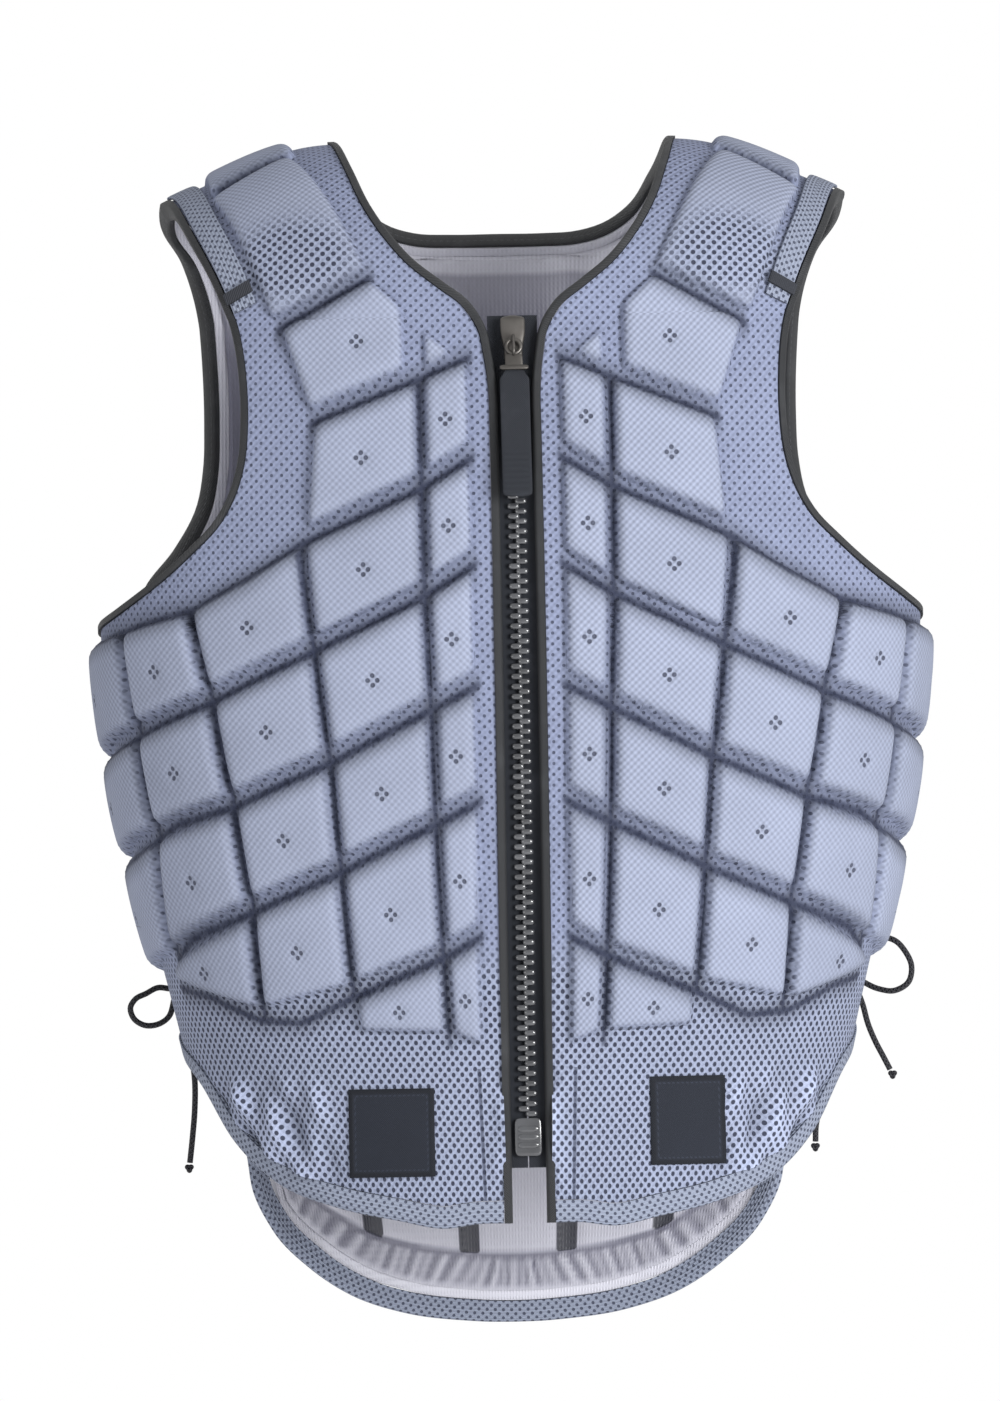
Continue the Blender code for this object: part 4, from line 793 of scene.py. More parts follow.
class Weave:
    """A material under construction: its tree, its shader and one way to add a node."""

    def __init__(self, name: str, roughness: float, metallic: float = 0.0, **uniform: float) -> None:
        """Start a material with the values that are the same all over it."""
        self.material = bpy.data.materials.new(name)
        self.material.use_nodes = True
        self.tree = self.material.node_tree
        self.shader = self.tree.nodes["Principled BSDF"]
        self.shader.inputs["Roughness"].default_value = roughness
        self.shader.inputs["Metallic"].default_value = metallic
        for key, value in uniform.items():
            self.shader.inputs[key.replace("_", " ")].default_value = value

    def node(self, kind: str, settings: dict | None = None, sockets: dict | None = None) -> bpy.types.Node:
        """Add a node.

        Args:
            kind: the node's type.
            settings: its own settings, set before its sockets.
            sockets: values or links by input name or number.

        Returns:
            The node.
        """
        made = self.tree.nodes.new(kind)
        for key, value in (settings or {}).items():
            setattr(made, key, value)
        for key, value in (sockets or {}).items():
            if isinstance(value, Value):
                self.tree.links.new(value.socket, made.inputs[key])
            elif isinstance(value, bpy.types.NodeSocket):
                self.tree.links.new(value, made.inputs[key])
            else:
                made.inputs[key].default_value = value
        return made

    def uv(self, layer: str) -> tuple["Value", "Value"]:
        """The two numbers of a UV map."""
        source = self.node("ShaderNodeUVMap", {"uv_map": layer})
        split = self.node("ShaderNodeSeparateXYZ", None, {"Vector": source.outputs["UV"]})
        return Value(self, split.outputs["X"]), Value(self, split.outputs["Y"])

    def point_value(self, key: str) -> "Value":
        """A number that the mesh holds at its points."""
        return Value(self, self.node("ShaderNodeAttribute", {"attribute_name": key}).outputs["Fac"])

    def noise(self, scale: float, detail: float = 2.0) -> "Value":
        """Soft noise over the object's own coordinates, from 0 to 1."""
        where = self.node("ShaderNodeTexCoord").outputs["Object"]
        made = self.node("ShaderNodeTexNoise", None, {"Vector": where, "Scale": scale, "Detail": detail})
        return Value(self, made.outputs["Fac"])

    def mix(self, base: object, over: object, share: "Value") -> bpy.types.NodeSocket:
        """A colour between two, each a tuple or a socket."""
        made = self.node("ShaderNodeMix", {"data_type": "RGBA", "clamp_factor": True}, {0: share})
        for index, colour in ((6, base), (7, over)):
            if isinstance(colour, tuple):
                made.inputs[index].default_value = (*colour, 1.0)
            else:
                self.tree.links.new(colour, made.inputs[index])
        return made.outputs[2]

    def shade(self, colour: bpy.types.NodeSocket, share: "Value") -> bpy.types.NodeSocket:
        """A colour multiplied by a number."""
        made = self.node("ShaderNodeVectorMath", {"operation": "SCALE"}, {0: colour, "Scale": share})
        return made.outputs["Vector"]

    def finish(self, colour: bpy.types.NodeSocket, height: "Value", depth: float) -> bpy.types.Material:
        """Join the colour and a bump of the given depth in metres, and give the material."""
        self.tree.links.new(colour, self.shader.inputs["Base Color"])
        bump = self.node("ShaderNodeBump", None, {"Strength": 1.0, "Distance": depth, "Height": height})
        self.tree.links.new(bump.outputs["Normal"], self.shader.inputs["Normal"])
        return self.material


class Value:
    """One number in a material, with Python arithmetic that adds Math nodes."""

    def __init__(self, weave: Weave, socket: bpy.types.NodeSocket) -> None:
        """Wrap a socket."""
        self.weave = weave
        self.socket = socket

    def _math(self, op: Op, *terms: object) -> "Value":
        """A Math node over the terms, in order."""
        sockets = dict(enumerate(terms))
        return Value(self.weave, self.weave.node("ShaderNodeMath", {"operation": op.value}, sockets).outputs[0])

    def __add__(self, other: object) -> "Value":
        """Sum."""
        return self._math(Op.ADD, self, other)

    __radd__ = __add__

    def __mul__(self, other: object) -> "Value":
        """Product."""
        return self._math(Op.MULTIPLY, self, other)

    __rmul__ = __mul__

    def __sub__(self, other: object) -> "Value":
        """Difference."""
        return self._math(Op.SUBTRACT, self, other)

    def __rsub__(self, other: object) -> "Value":
        """Difference the other way round."""
        return self._math(Op.SUBTRACT, other, self)

    def __truediv__(self, other: object) -> "Value":
        """Quotient."""
        return self._math(Op.DIVIDE, self, other)

    def __abs__(self) -> "Value":
        """Size without sign."""
        return self._math(Op.ABSOLUTE, self)

    def sine(self) -> "Value":
        """Sine."""
        return self._math(Op.SINE, self)

    def fraction(self) -> "Value":
        """What is left after the whole number."""
        return self._math(Op.FRACTION, self)

    def least(self, other: object) -> "Value":
        """The smaller of two."""
        return self._math(Op.MINIMUM, self, other)

    def most(self, other: object) -> "Value":
        """The larger of two."""
        return self._math(Op.MAXIMUM, self, other)

    def root(self) -> "Value":
        """Square root."""
        return self._math(Op.SQUARE_ROOT, self)

    def rise(self, low: float, high: float) -> "Value":
        """Smooth step from 0 at low to 1 at high, or down where high is the smaller."""
        flip = high < low
        made = self.weave.node(
            "ShaderNodeMapRange",
            {"interpolation_type": "SMOOTHSTEP"},
            {"Value": self, "From Min": min(low, high), "From Max": max(low, high),
             "To Min": 1.0 if flip else 0.0, "To Max": 0.0 if flip else 1.0},
        )
        return Value(self.weave, made.outputs["Result"])


def wave(u: Value, pitch: float) -> Value:
    """Sine with a pitch in metres."""
    return (u * (2 * math.pi / pitch)).sine()


def lattice(u: Value, v: Value, pitch: float, radius: float) -> Value:
    """Dots on a diamond lattice: 1 at each dot's centre, 0 outside its radius."""
    a = ((u + v) / pitch).fraction() - 0.5
    b = ((u - v) / pitch).fraction() - 0.5
    return ((a * a + b * b).root() * pitch).rise(radius * 1.25, radius * 0.75)


@dataclass(frozen=True)
class AirMesh:
    """Spacer mesh: light over the tiles, slate with open holes in the grooves and on the skirt."""

    tile: tuple = (0.174, 0.193, 0.256)
    ground: tuple = (0.142, 0.161, 0.236)
    thread: tuple = (0.176, 0.198, 0.272)
    hole: tuple = (0.010, 0.012, 0.026)
    crease_shade_and_seam: tuple = (0.016, 0.020, 0.040)
    knit_pitch: float = 0.0036
    hole_pitch: float = 0.0054
    hole_radius: float = 0.00108
    open_radius: float = 0.00160

    def material(self) -> bpy.types.Material:
        """Diamond knit sin(u) sin(v) with slanting ribs, holes on a diamond lattice, painted shade in the creases of
        the grooves with a painted shade band beside them, and a dark seam line.
        """
        w = Weave("air_mesh_cloth", 0.85, Specular_IOR_Level=0.25)
        u, v = w.uv("cloth")
        ground, open_mesh = w.point_value("ground"), w.point_value("open")
        knit = wave(u, self.knit_pitch) * wave(v, self.knit_pitch)
        ribs = wave(u - v, self.knit_pitch)
        shown = (lattice(u, v, self.hole_pitch, self.hole_radius) * ground * 0.78).most(
            lattice(u, v, self.hole_pitch, self.open_radius) * open_mesh
        )
        across, beside = abs(w.point_value("across")), abs(w.point_value("beside"))
        across_on, beside_on = w.point_value("across_on"), w.point_value("beside_on")
        seam = abs(w.point_value("seam")).rise(0.0016, 0.0004)
        ragged = 0.55 + w.noise(160.0) * 0.9
        # painted shade: near-black lines down the groove creases, the shoulder fold and the slit; the seam line
        # beside the zip on the skirt is a real dark seam
        lines = across.rise(0.0032, 0.0004) * ragged * across_on * 0.86
        lines = lines.most(beside.rise(0.0020, 0.0003) * ragged * beside_on * 0.80).most(seam * 0.7)
        # painted shade: soft darker bands either side of the groove lines, where the tile edges roll away from the
        # light
        soft = across.rise(0.0115, 0.0012) * across_on * 0.40 + beside.rise(0.0070, 0.0008) * beside_on * 0.28
        sx, sy = w.uv("spot")
        ax, ay = abs(sx), abs(sy)
        far = 0.0024
        first = ((ax - far) * (ax - far) + ay * ay).root()
        second = (ax * ax + (ay - far) * (ay - far)).root()
        dots = first.least(second).rise(0.00145, 0.00080)
        cloth = w.mix(self.tile, self.ground, ground)
        cloth = w.mix(cloth, self.thread, open_mesh)
        fine = 1.0 - ground.most(open_mesh) * 0.5
        # tone holds each tile's own random tone and, on the skirt, painted shade of the folds: darker in the wrinkle
        # valleys, lighter on their crests
        cloth = w.shade(cloth, w.point_value("tone") * (1.0 + (knit * 0.17 + ribs * 0.10) * fine))
        # random tone from noise, times the painted shade beside the grooves
        cloth = w.shade(cloth, (0.90 + w.noise(34.0) * 0.20) * (1.0 - soft))
        cloth = w.mix(cloth, self.hole, shown * 0.93)
        cloth = w.mix(cloth, self.hole, dots * 0.80)
        cloth = w.mix(cloth, self.crease_shade_and_seam, lines)
        return w.finish(cloth, knit * 0.30 - shown * 0.9 - dots * 0.8 - lines * 0.9, 0.0006)


@dataclass(frozen=True)
class EdgeMesh:
    """Open mesh tape of the hems and the shoulder straps."""

    thread: tuple = (0.165, 0.185, 0.240)
    hole: tuple = (0.022, 0.026, 0.048)
    pitch: float = 0.0042

    def material(self) -> bpy.types.Material:
        """Dots on a diamond lattice over ribs that run along the tape."""
        w = Weave("edge_mesh_tape", 0.85, Specular_IOR_Level=0.25)
        u, v = w.uv("cloth")
        holes = lattice(u, v, self.pitch, 0.00105)
        ribs = wave(v, 0.0016)
        cloth = w.mix(self.thread, self.hole, holes * 0.85)
        cloth = w.shade(cloth, 1.0 + ribs * 0.06 + (w.noise(60.0) - 0.5) * 0.10)
        return w.finish(cloth, ribs * 0.3 - holes, 0.0005)


@dataclass(frozen=True)
class Lining:
    """Silvery lining with a fine upright rib, a light neck band and dark slots between its pads."""

    silver: tuple = (0.400, 0.400, 0.450)
    # darker lining colour of the zone below the neck band; painted shade is mixed towards it too
    mauve_and_painted_shade: tuple = (0.105, 0.105, 0.140)
    slot: tuple = (0.012, 0.013, 0.022)

    def material(self) -> bpy.types.Material:
        """Ribs sin(u), the darker lining colour and painted shade where the mesh says so, slots from the mesh's own
        distance.
        """
        w = Weave("silver_lining", 0.42, Specular_IOR_Level=0.5)
        u, v = w.uv("cloth")
        ribs = wave(u, 0.0022) * (0.6 + 0.4 * wave(v, 0.0035))
        cloth = w.mix(self.silver, self.mauve_and_painted_shade, w.point_value("mauve_and_painted_shade"))
        cloth = w.shade(cloth, 1.0 + ribs * 0.05 + (w.noise(45.0) - 0.5) * 0.12)
        slots = w.point_value("slot").rise(0.3, 0.7)
        cloth = w.mix(cloth, self.slot, slots)
        return w.finish(cloth, ribs * 0.3 - slots, 0.0004)


@dataclass(frozen=True)
class Tape:
    """Folded or woven tape: twill ribs, an optional stitch line and slight wear."""

    name: str
    colour: tuple
    rib_pitch: float = 0.0011
    roughness: float = 0.72
    stitch: tuple | None = None
    stitch_at: float = 0.0

    def material(self) -> bpy.types.Material:
        """Twill sin(u + v), with dashes of thread at one distance round the section."""
        w = Weave(self.name, self.roughness, Specular_IOR_Level=0.3)
        u, v = w.uv("cloth")
        twill = wave(u + v, self.rib_pitch)
        worn = w.noise(70.0, 3.0)
        cloth = w.mix(self.colour, tuple(min(1.0, c * 1.9 + 0.01) for c in self.colour), worn.rise(0.50, 0.85) * 0.5)
        cloth = w.shade(cloth, 1.0 + twill * 0.18)
        height = twill * 0.5
        if self.stitch is not None:
            dash = wave(u, 0.0034).rise(-0.3, 0.1) * abs(v - self.stitch_at).rise(0.0005, 0.0002)
            cloth = w.mix(cloth, self.stitch, dash * 0.8)
            height = height + dash
        return w.finish(cloth, height, 0.0003)


@dataclass(frozen=True)
class Moulded:
    """Glossy moulded plastic or dark metal with fine scuffs."""

    name: str
    colour: tuple
    roughness: float
    metallic: float = 0.0
    coat: float = 0.0

    def material(self) -> bpy.types.Material:
        """Noise that changes the colour a little and roughens the surface."""
        w = Weave(self.name, self.roughness, self.metallic, Coat_Weight=self.coat, Coat_Roughness=0.12)
        scuff = w.noise(420.0, 4.0)
        soft = w.noise(60.0, 2.0)
        colour = w.mix(self.colour, tuple(min(1.0, c * 1.8 + 0.006) for c in self.colour), soft.rise(0.35, 0.8))
        rough = scuff * 0.22 + (self.roughness - 0.11)
        w.tree.links.new(rough.socket, w.shader.inputs["Roughness"])
        return w.finish(colour, scuff * 0.25, 0.00015)


@dataclass(frozen=True)
class Patch:
    """Charcoal patch cloth with a pressed border and fine weave, and nothing printed on it."""

    cloth: tuple = (0.010, 0.012, 0.018)
    border: tuple = (0.006, 0.007, 0.010)

    def material(self) -> bpy.types.Material:
        """Basket weave sin(u) sin(v), darker where the mesh's border distance is small."""
        w = Weave("patch_cloth", 0.7, Specular_IOR_Level=0.15)
        u, v = w.uv("cloth")
        basket = wave(u, 0.0012) * wave(v, 0.0012)
        edge = w.point_value("border").rise(0.0030, 0.0018)
        line = abs(w.point_value("border") - 0.0034).rise(0.0005, 0.0002)
        colour = w.mix(self.cloth, self.border, edge * 0.8)
        colour = w.mix(colour, tuple(c * 2.2 for c in self.cloth), line * wave(u + v, 0.0030).rise(-0.3, 0.2) * 0.6)
        colour = w.shade(colour, 1.0 + basket * 0.12 + (w.noise(50.0) - 0.5) * 0.2)
        return w.finish(colour, basket * 0.3 + edge * 0.6, 0.0003)


@dataclass(frozen=True)
class Braid:
    """Black braided lace."""

    colour: tuple = (0.006, 0.006, 0.008)
    light: tuple = (0.030, 0.030, 0.036)
    pitch: float = 0.0024

    def material(self) -> bpy.types.Material:
        """Two families of strands, sin(u + v) and sin(u - v), crossing round the cord."""
        w = Weave("braided_lace", 0.62, Specular_IOR_Level=0.3)
        u, v = w.uv("cloth")
        strands = wave(u + v, self.pitch).most(wave(u - v, self.pitch))
        colour = w.mix(self.colour, self.light, strands.rise(0.3, 1.0) * (0.4 + w.noise(200.0) * 0.4))
        return w.finish(colour, strands, 0.0003)


@dataclass(frozen=True)
class Studio:
    """Pale matt floor."""

    colour: tuple = (0.90, 0.90, 0.91)

    def material(self) -> bpy.types.Material:
        """Near white with a trace of noise."""
        w = Weave("studio_white", 0.9)
        spread = w.noise(3.0)
        return w.finish(w.mix(self.colour, tuple(c * 0.985 for c in self.colour), spread), spread * 0.01, 0.001)


@dataclass(frozen=True)
class Finishes:
    """Every material of the vest, made once."""

    air: bpy.types.Material
    edge: bpy.types.Material
    lining: bpy.types.Material
    binding: bpy.types.Material
    tape: bpy.types.Material
    teeth: bpy.types.Material
    metal: bpy.types.Material
    webbing: bpy.types.Material
    patch: bpy.types.Material
    lace: bpy.types.Material

    @classmethod
    def make(cls) -> "Finishes":
        """Make the materials."""
        return cls(
            air=AirMesh().material(),
            edge=EdgeMesh().material(),
            lining=Lining().material(),
            binding=Tape(
                "folded_binding", (0.016, 0.017, 0.019), 0.0012, 0.6, (0.045, 0.047, 0.052), 0.0045
            ).material(),
            tape=Tape("zip_tape_cloth", (0.011, 0.013, 0.018), 0.0010, 0.75).material(),
            teeth=Moulded("glossy_teeth", (0.022, 0.023, 0.026), 0.18, 0.0, 0.5).material(),
            metal=Moulded("dark_bronze", (0.060, 0.056, 0.052), 0.36, 0.8).material(),
            webbing=Tape("charcoal_webbing", (0.017, 0.019, 0.025), 0.0016, 0.8).material(),
            patch=Patch().material(),
            lace=Braid().material(),
        )


@dataclass(frozen=True)
class Bounds:
    """A panel between an inner and an outer edge, over a hem: girths by level, and the hem by girth."""

    inner: np.ndarray
    outer: np.ndarray
    hem: np.ndarray
    top: float
    straight: float = -0.400

    def edges_at(self, level: np.ndarray) -> list[np.ndarray]:
        """Girths of the inner and the outer edge at each level."""
        return [np.interp(level, path[:, 1], path[:, 0]) for path in (self.inner, self.outer)]

    def hem_at(self, girth: np.ndarray) -> np.ndarray:
        """Level of the hem at each girth."""
        order = np.argsort(self.hem[:, 0])
        return np.interp(girth, self.hem[order, 0], self.hem[order, 1])

    def places(self, rows: int, columns: int, low_rows: int) -> np.ndarray:
        """Grid of places over the panel.

        Args:
            rows: rows in all.
            columns: columns from the inner edge to the outer one.
            low_rows: rows below the straight level.

        Returns:
            Places by row and column. Girth = inner + share (outer - inner) at the row's level, and
            the rows crowd where an edge runs across them. The low rows spread from the hem's level
            at their girth up to the straight level.
        """
        share = np.linspace(0.0, 1.0, columns)
        fine = np.linspace(self.straight, self.top, 3000)
        cost = np.abs(np.diff(fine)) + 0.6 * sum(np.abs(np.diff(edge)) for edge in self.edges_at(fine))
        cost = np.concatenate([[0.0], np.cumsum(cost)])
        levels = np.interp(np.linspace(0.0, cost[-1], rows - low_rows), cost, fine)
        inner, outer = (edge[:, None] for edge in self.edges_at(levels))
        level = np.repeat(levels[:, None], columns, axis=1)
        high = np.stack([inner + (outer - inner) * share, level], axis=-1)
        foot = self.hem_at(high[0, :, 0])
        climb = np.linspace(0.0, 1.0, low_rows, endpoint=False)[:, None]
        girth = np.repeat(high[:1, :, 0], low_rows, axis=0)
        return np.concatenate([np.stack([girth, foot + (self.straight - foot) * climb], axis=-1), high])


def by_level(path: np.ndarray, low: float) -> np.ndarray:
    """A path's rows sorted by level and carried straight down to a low level."""
    path = path[np.argsort(path[:, 1])]
    return np.concatenate([[[path[0, 0], low]], path])


def front_bounds(edge: float, neck: float, hem: float, side: float, top: float) -> Bounds:
    """The front half's bounds, moved in by distances from its armhole, neck, hem, side and top."""
    s = SHELL
    arm = s.shifted(EDGES.front_arm(), edge)
    arm = arm[arm[:, 0] < s.side_front - side]
    outer = np.concatenate([[[s.side_front - side, arm[0, 1] - 1e-4]], arm])
    inner, outer = by_level(s.shifted(EDGES.front_neck(), neck), -1.0), by_level(outer, -1.0)
    return Bounds(inner, outer, s.shifted(EDGES.front_hem(), hem), s.crest_level - top)


def back_bounds(edge: float, neck: float, hem: float, side: float, top: float) -> Bounds:
    """The back's left half's bounds, moved in by distances from its edges. Inner is its middle."""
    s = SHELL
    arm = s.shifted(EDGES.back_arm(), edge)
    arm = arm[arm[:, 0] > s.side_back + side]
    outer = np.concatenate([arm, [[s.side_back + side, arm[:, 1].min() - 1e-4]]])
    neckline = s.shifted(EDGES.across_back(EDGES.back_neck_half())[::-1], neck)
    neckline = neckline[neckline[:, 0] <= s.back_centre + 1e-6]
    inner = np.concatenate([neckline, [[s.back_centre, neckline[:, 1].min() - 1e-4]]])
    hem_path = s.shifted(EDGES.across_back(EDGES.back_hem_half()), hem)
    return Bounds(by_level(inner, -1.0), by_level(outer, -1.0), hem_path, s.crest_level - top)


def back_grid(bounds: Bounds, rows: int, columns: int, low_rows: int) -> tuple[np.ndarray, np.ndarray]:
    """The whole back: two half grids that share the middle column below the neck.

    Args:
        bounds: the left half's bounds.
        rows: rows in all.
        columns: columns of a half.
        low_rows: rows below the straight level.

    Returns:
        The places, as rows of (girth, level), and the quads between them.
    """
    middle = SHELL.back_centre
    grid = bounds.places(rows, columns, low_rows)
    twin = grid * (-1, 1) + (2 * middle, 0)
    places = np.concatenate([grid.reshape(-1, 2), twin.reshape(-1, 2)])
    left = np.arange(rows * columns).reshape(rows, columns)
    right = left + rows * columns
    right[:, 0] = np.where(np.abs(grid[:, 0, 0] - middle) < 1e-6, left[:, 0], right[:, 0])
    quads = np.concatenate([grid_faces(rows, columns, left)[:, ::-1], grid_faces(rows, columns, right)])
    used, index = np.unique(quads, return_inverse=True)
    return places[used], index.reshape(-1, 4)


@dataclass(frozen=True)
class Tile:
    """One raised tile: its corners, anticlockwise, and how far its foam stands out."""

    corners: np.ndarray
    relief: float
    tone: float
    marked: bool = True
    inset: float = 1.0


@dataclass(frozen=True)
class Quilt:
    """The relief of a panel: rounded tiles over a ground, with lines for the painted shade in the creases along the
    grooves.
    """

    tiles: list[Tile]
    slopes: list[np.ndarray]
    downs: list[np.ndarray]
    roll: float = 0.0060
    crown: float = 0.0014
    softness: float = 0.0014
    insets: tuple = (0.0060, 0.0022, 0.0006, 0.0008)

    def gaps(self, places: np.ndarray, tile: Tile) -> np.ndarray:
        """Distances d from places to a tile's sides, inwards, one column for each side.

        Each side of a tile is moved in first: more at the foot, where the cover slopes away, than
        beside it.
        """
        side = np.roll(tile.corners, -1, axis=0) - tile.corners
        inward = unit(np.stack([-side[:, 1], side[:, 0]], axis=1))
        insets = np.array([self.insets[i % 4] for i in range(len(side))]) * tile.inset
        return ((places[:, None] - tile.corners[None]) * inward[None]).sum(2) - insets

    def surface(self, places: np.ndarray) -> dict[str, np.ndarray]:
        """Height, ground share, tone and spot coordinates of each place.

        Args:
            places: rows of (girth, level).

        Returns:
            Depth is the soft least distance -s log sum exp(-d / s) to a tile's sides, which rounds its
            corners. Height is relief sqrt(1 - (1 - t)^2), t = depth over the roll, plus a crown that
            is the product of d / (d + 12 mm). Ground is 1 off the tiles. Across and beside are the
            distances to the nearest groove line.
        """
        count = len(places)
        height, cover, tone = np.zeros(count), np.zeros(count), np.ones(count)
        spots = np.full((count, 2), 0.05)
        for tile in self.tiles:
            gap = self.gaps(places, tile)
            depth = -self.softness * np.log(np.exp(np.clip(-gap / self.softness, -60, 60)).sum(1))
            clear = np.maximum(gap, 0.0)
            middle = places - tile.corners.mean(0)
            dent = np.exp(-(middle**2).sum(1) / 0.0042**2) * (0.0009 if tile.marked else 0.0)
            t = np.clip(depth / self.roll, 0.0, 1.0)
            crown = 4 * self.crown * (clear / (clear + 0.012)).prod(1)
            raised = tile.relief * np.sqrt(1 - (1 - t) ** 2) + crown - dent
            within = depth > 0
            height = np.where(within, np.maximum(height, raised), height)
            cover = np.maximum(cover, smoothstep(0.0006, 0.0030, depth))
            tone = np.where(within, tile.tone, tone)
            spots = np.where(within[:, None], middle if tile.marked else 0.05, spots)
        across, across_on = self.nearest(places, self.slopes, 0)
        beside, beside_on = self.nearest(places, self.downs, 1)
        return {
            "height": height, "ground": 1 - cover, "tone": tone, "spots": spots, "across": across,
            "across_on": across_on, "beside": beside, "beside_on": beside_on,
        }

    def nearest(self, places: np.ndarray, lines: list[np.ndarray], axis: int) -> tuple[np.ndarray, np.ndarray]:
        """Signed distance to the nearest line, read across it, and whether the line reaches there.

        Args:
            places: rows of (girth, level).
            lines: paths in order across the panel, single-valued along the axis.
            axis: 0 for lines that run round, 1 for lines that run down.

        Returns:
            For each place the offset to each line, carried on straight past its ends, times the
            cosine of its slope, with the least in size kept. Every second line counts the other way,
            so that the value keeps its sign halfway between two lines. The second value is 1 within
            the nearest line's ends.
        """
        best, reached = np.full(len(places), 0.5), np.zeros(len(places))
        at = places[:, axis]
        for index, line in enumerate(lines):
            line = line[np.argsort(line[:, axis])]
            along, off = line[:, axis], line[:, 1 - axis]
            first = (off[1] - off[0]) / (along[1] - along[0])
            last = (off[-1] - off[-2]) / (along[-1] - along[-2])
            on = np.interp(at, along, off)
            on = on + first * np.minimum(at - along[0], 0.0) + last * np.maximum(at - along[-1], 0.0)
            slope = np.interp(at, along, np.gradient(off, along))
            offset = (places[:, 1 - axis] - on) / np.hypot(1.0, slope) * (-1) ** index
            nearer = np.abs(offset) < np.abs(best)
            inside = smoothstep(along[0] - 0.003, along[0] + 0.001, at)
            inside = inside * smoothstep(along[-1] + 0.003, along[-1] - 0.001, at)
            best = np.where(nearer, offset, best)
            reached = np.where(nearer, inside, reached)
        return best, reached


@dataclass
class PaddedPanels:
    """The two front halves and the back: foam tiles under mesh, plain cloth inside."""

    finishes: Finishes
    relief: float = 0.0062
    fold_height: float = 0.0021
    back_fold_height: float = 0.0007
    pad_relief: float = 0.0050
    pad_wall: float = 0.0095
    skirt_wall: float = 0.0032
    blend: float = 0.010
    skirt_share: float = 0.845
    tail_share: float = 0.900
    seam: float = 0.0045
    binding: float = 0.0047
    neck_seam: float = 0.0025
    hem: float = 0.0113
    rng_seed: int = 7
    zip_seam: float = 0.030
    folds: tuple = ((1.0, 0.052, 0.060, 0.0), (0.8, 0.031, -0.074, 1.3), (0.5, 0.019, 0.045, 0.4))
    slope_reach: tuple = ((0, 2), (0, 5), (0, 5), (0, 5), (0, 4), (0, 4))
    down_reach: tuple = ((0, 6), (1, 5), (1, 5), (1, 4))

    @property
    def cloths(self) -> list[bpy.types.Material]:
        """Mesh outside and lining inside."""
        return [self.finishes.air, self.finishes.lining]

    def wall(self, level: np.ndarray, share: float) -> np.ndarray:
        """Thickness behind the groove floor: padded above, a plain skirt below a level."""
        return self.pad_wall + (self.skirt_wall - self.pad_wall) * smoothstep(
            share * SHELL.front_drop - self.blend / 2, share * SHELL.front_drop + self.blend / 2, -level
        )

    def front_quilt(self) -> Quilt:
        """The front's tiles between its grooves, its shoulder pads and its small neck tile."""
        s = SHELL
        rng = np.random.default_rng(self.rng_seed)
        columns = [s.places(table) for table in DOWN_GROOVES]
        top, foot = (reach - UNDERARM_DROP * s.front_drop for reach in SIDE_COLUMN)
        columns.append(np.array([(s.side_front - 0.001, top), (s.side_front - 0.001, foot)]))
        slopes = []
        for table, drop in zip(SLOPING_GROOVES, SIDE_DROPS):
            path = s.places(table)
            if drop is not None:
                path = np.concatenate([path, s.level_line(drop, [s.silhouette, s.side_front + 0.008])])
            slopes.append(path)
        tiles = []
        for upper, lower, first, last in TILE_ROWS:
            for column in range(first, last + 1):
                corners = np.array([
                    crossing(slopes[row], columns[column + after])
                    for row, after in ((lower, 0), (lower, 1), (upper, 1), (upper, 0))
                ])
                tiles.append(Tile(corners, self.relief, 1.0 + rng.uniform(-0.035, 0.035)))
        slit = s.places(SLIT)
        block = np.array([
            *(crossing(path, columns[column]) for path, column in ((slopes[0], 1), (slopes[0], 2), (slit, 2))),
            slit[2],
            crossing(slit, columns[1]),
        ])
        tiles.append(Tile(block, self.relief, 1.01))
        tiles.append(Tile(s.places(NECK_TILE), self.relief * NECK_TILE_SHARE, 1.06, False, 0.1))
        tiles.append(Tile(s.places(SHOULDER_PAD), self.pad_relief, 0.95, False, 0.15))
        inner, outer = (s.girth_on_crest(CREST_PAD[row][0] + CREST_SPREAD) for row in (0, 1))
        crest = np.array([
            s.place_of(*CREST_PAD[0]), s.place_of(*CREST_PAD[1]),
            (outer, s.crest_level - 0.001), (inner, s.crest_level - 0.001),
        ])
        tiles.append(Tile(crest, self.pad_relief, 0.97, False, 0.15))
        fold = np.array([s.place_of(*CREST_PAD[0]), s.place_of(*CREST_PAD[1])])
        fold = fold + 0.12 * np.array([[1.0], [-1.0]]) * (fold[1] - fold[0])
        creases = [self.between(path, columns, *reach) for path, reach in zip(slopes, self.slope_reach)]
        downs = [self.between(path, slopes, *reach) for path, reach in zip(columns[1:], self.down_reach)]
        return Quilt(tiles, [fold, slit[2:4], *creases], downs)

    def between(self, path: np.ndarray, across: list[np.ndarray], first: int, last: int) -> np.ndarray:
        """The stretch of a groove from where it crosses one line to where it crosses another."""
        ends = np.array([crossing(path, across[first]), crossing(path, across[last])])
        axis = int(np.ptp(ends[:, 1]) > np.ptp(ends[:, 0]))
        low, high = sorted(ends[:, axis])
        inner = path[(path[:, axis] > low) & (path[:, axis] < high)]
        every = np.concatenate([ends, inner])
        return every[np.argsort(every[:, axis])]

    def back_quilt(self, bounds: Bounds) -> Quilt:
        """The back's tiles, in columns and shallow chevron rows, clear of its edges."""
        s = SHELL
        rng = np.random.default_rng(self.rng_seed + 1)
        half = s.back_centre - s.side_back

        def place(share: float, row: float) -> tuple[float, float]:
            """(girth, level) at a share of the half girth and a row's drop at the side."""
            return s.back_centre + share * half, -row * s.front_drop - BACK_SLOPE * (1 - abs(share)) * half

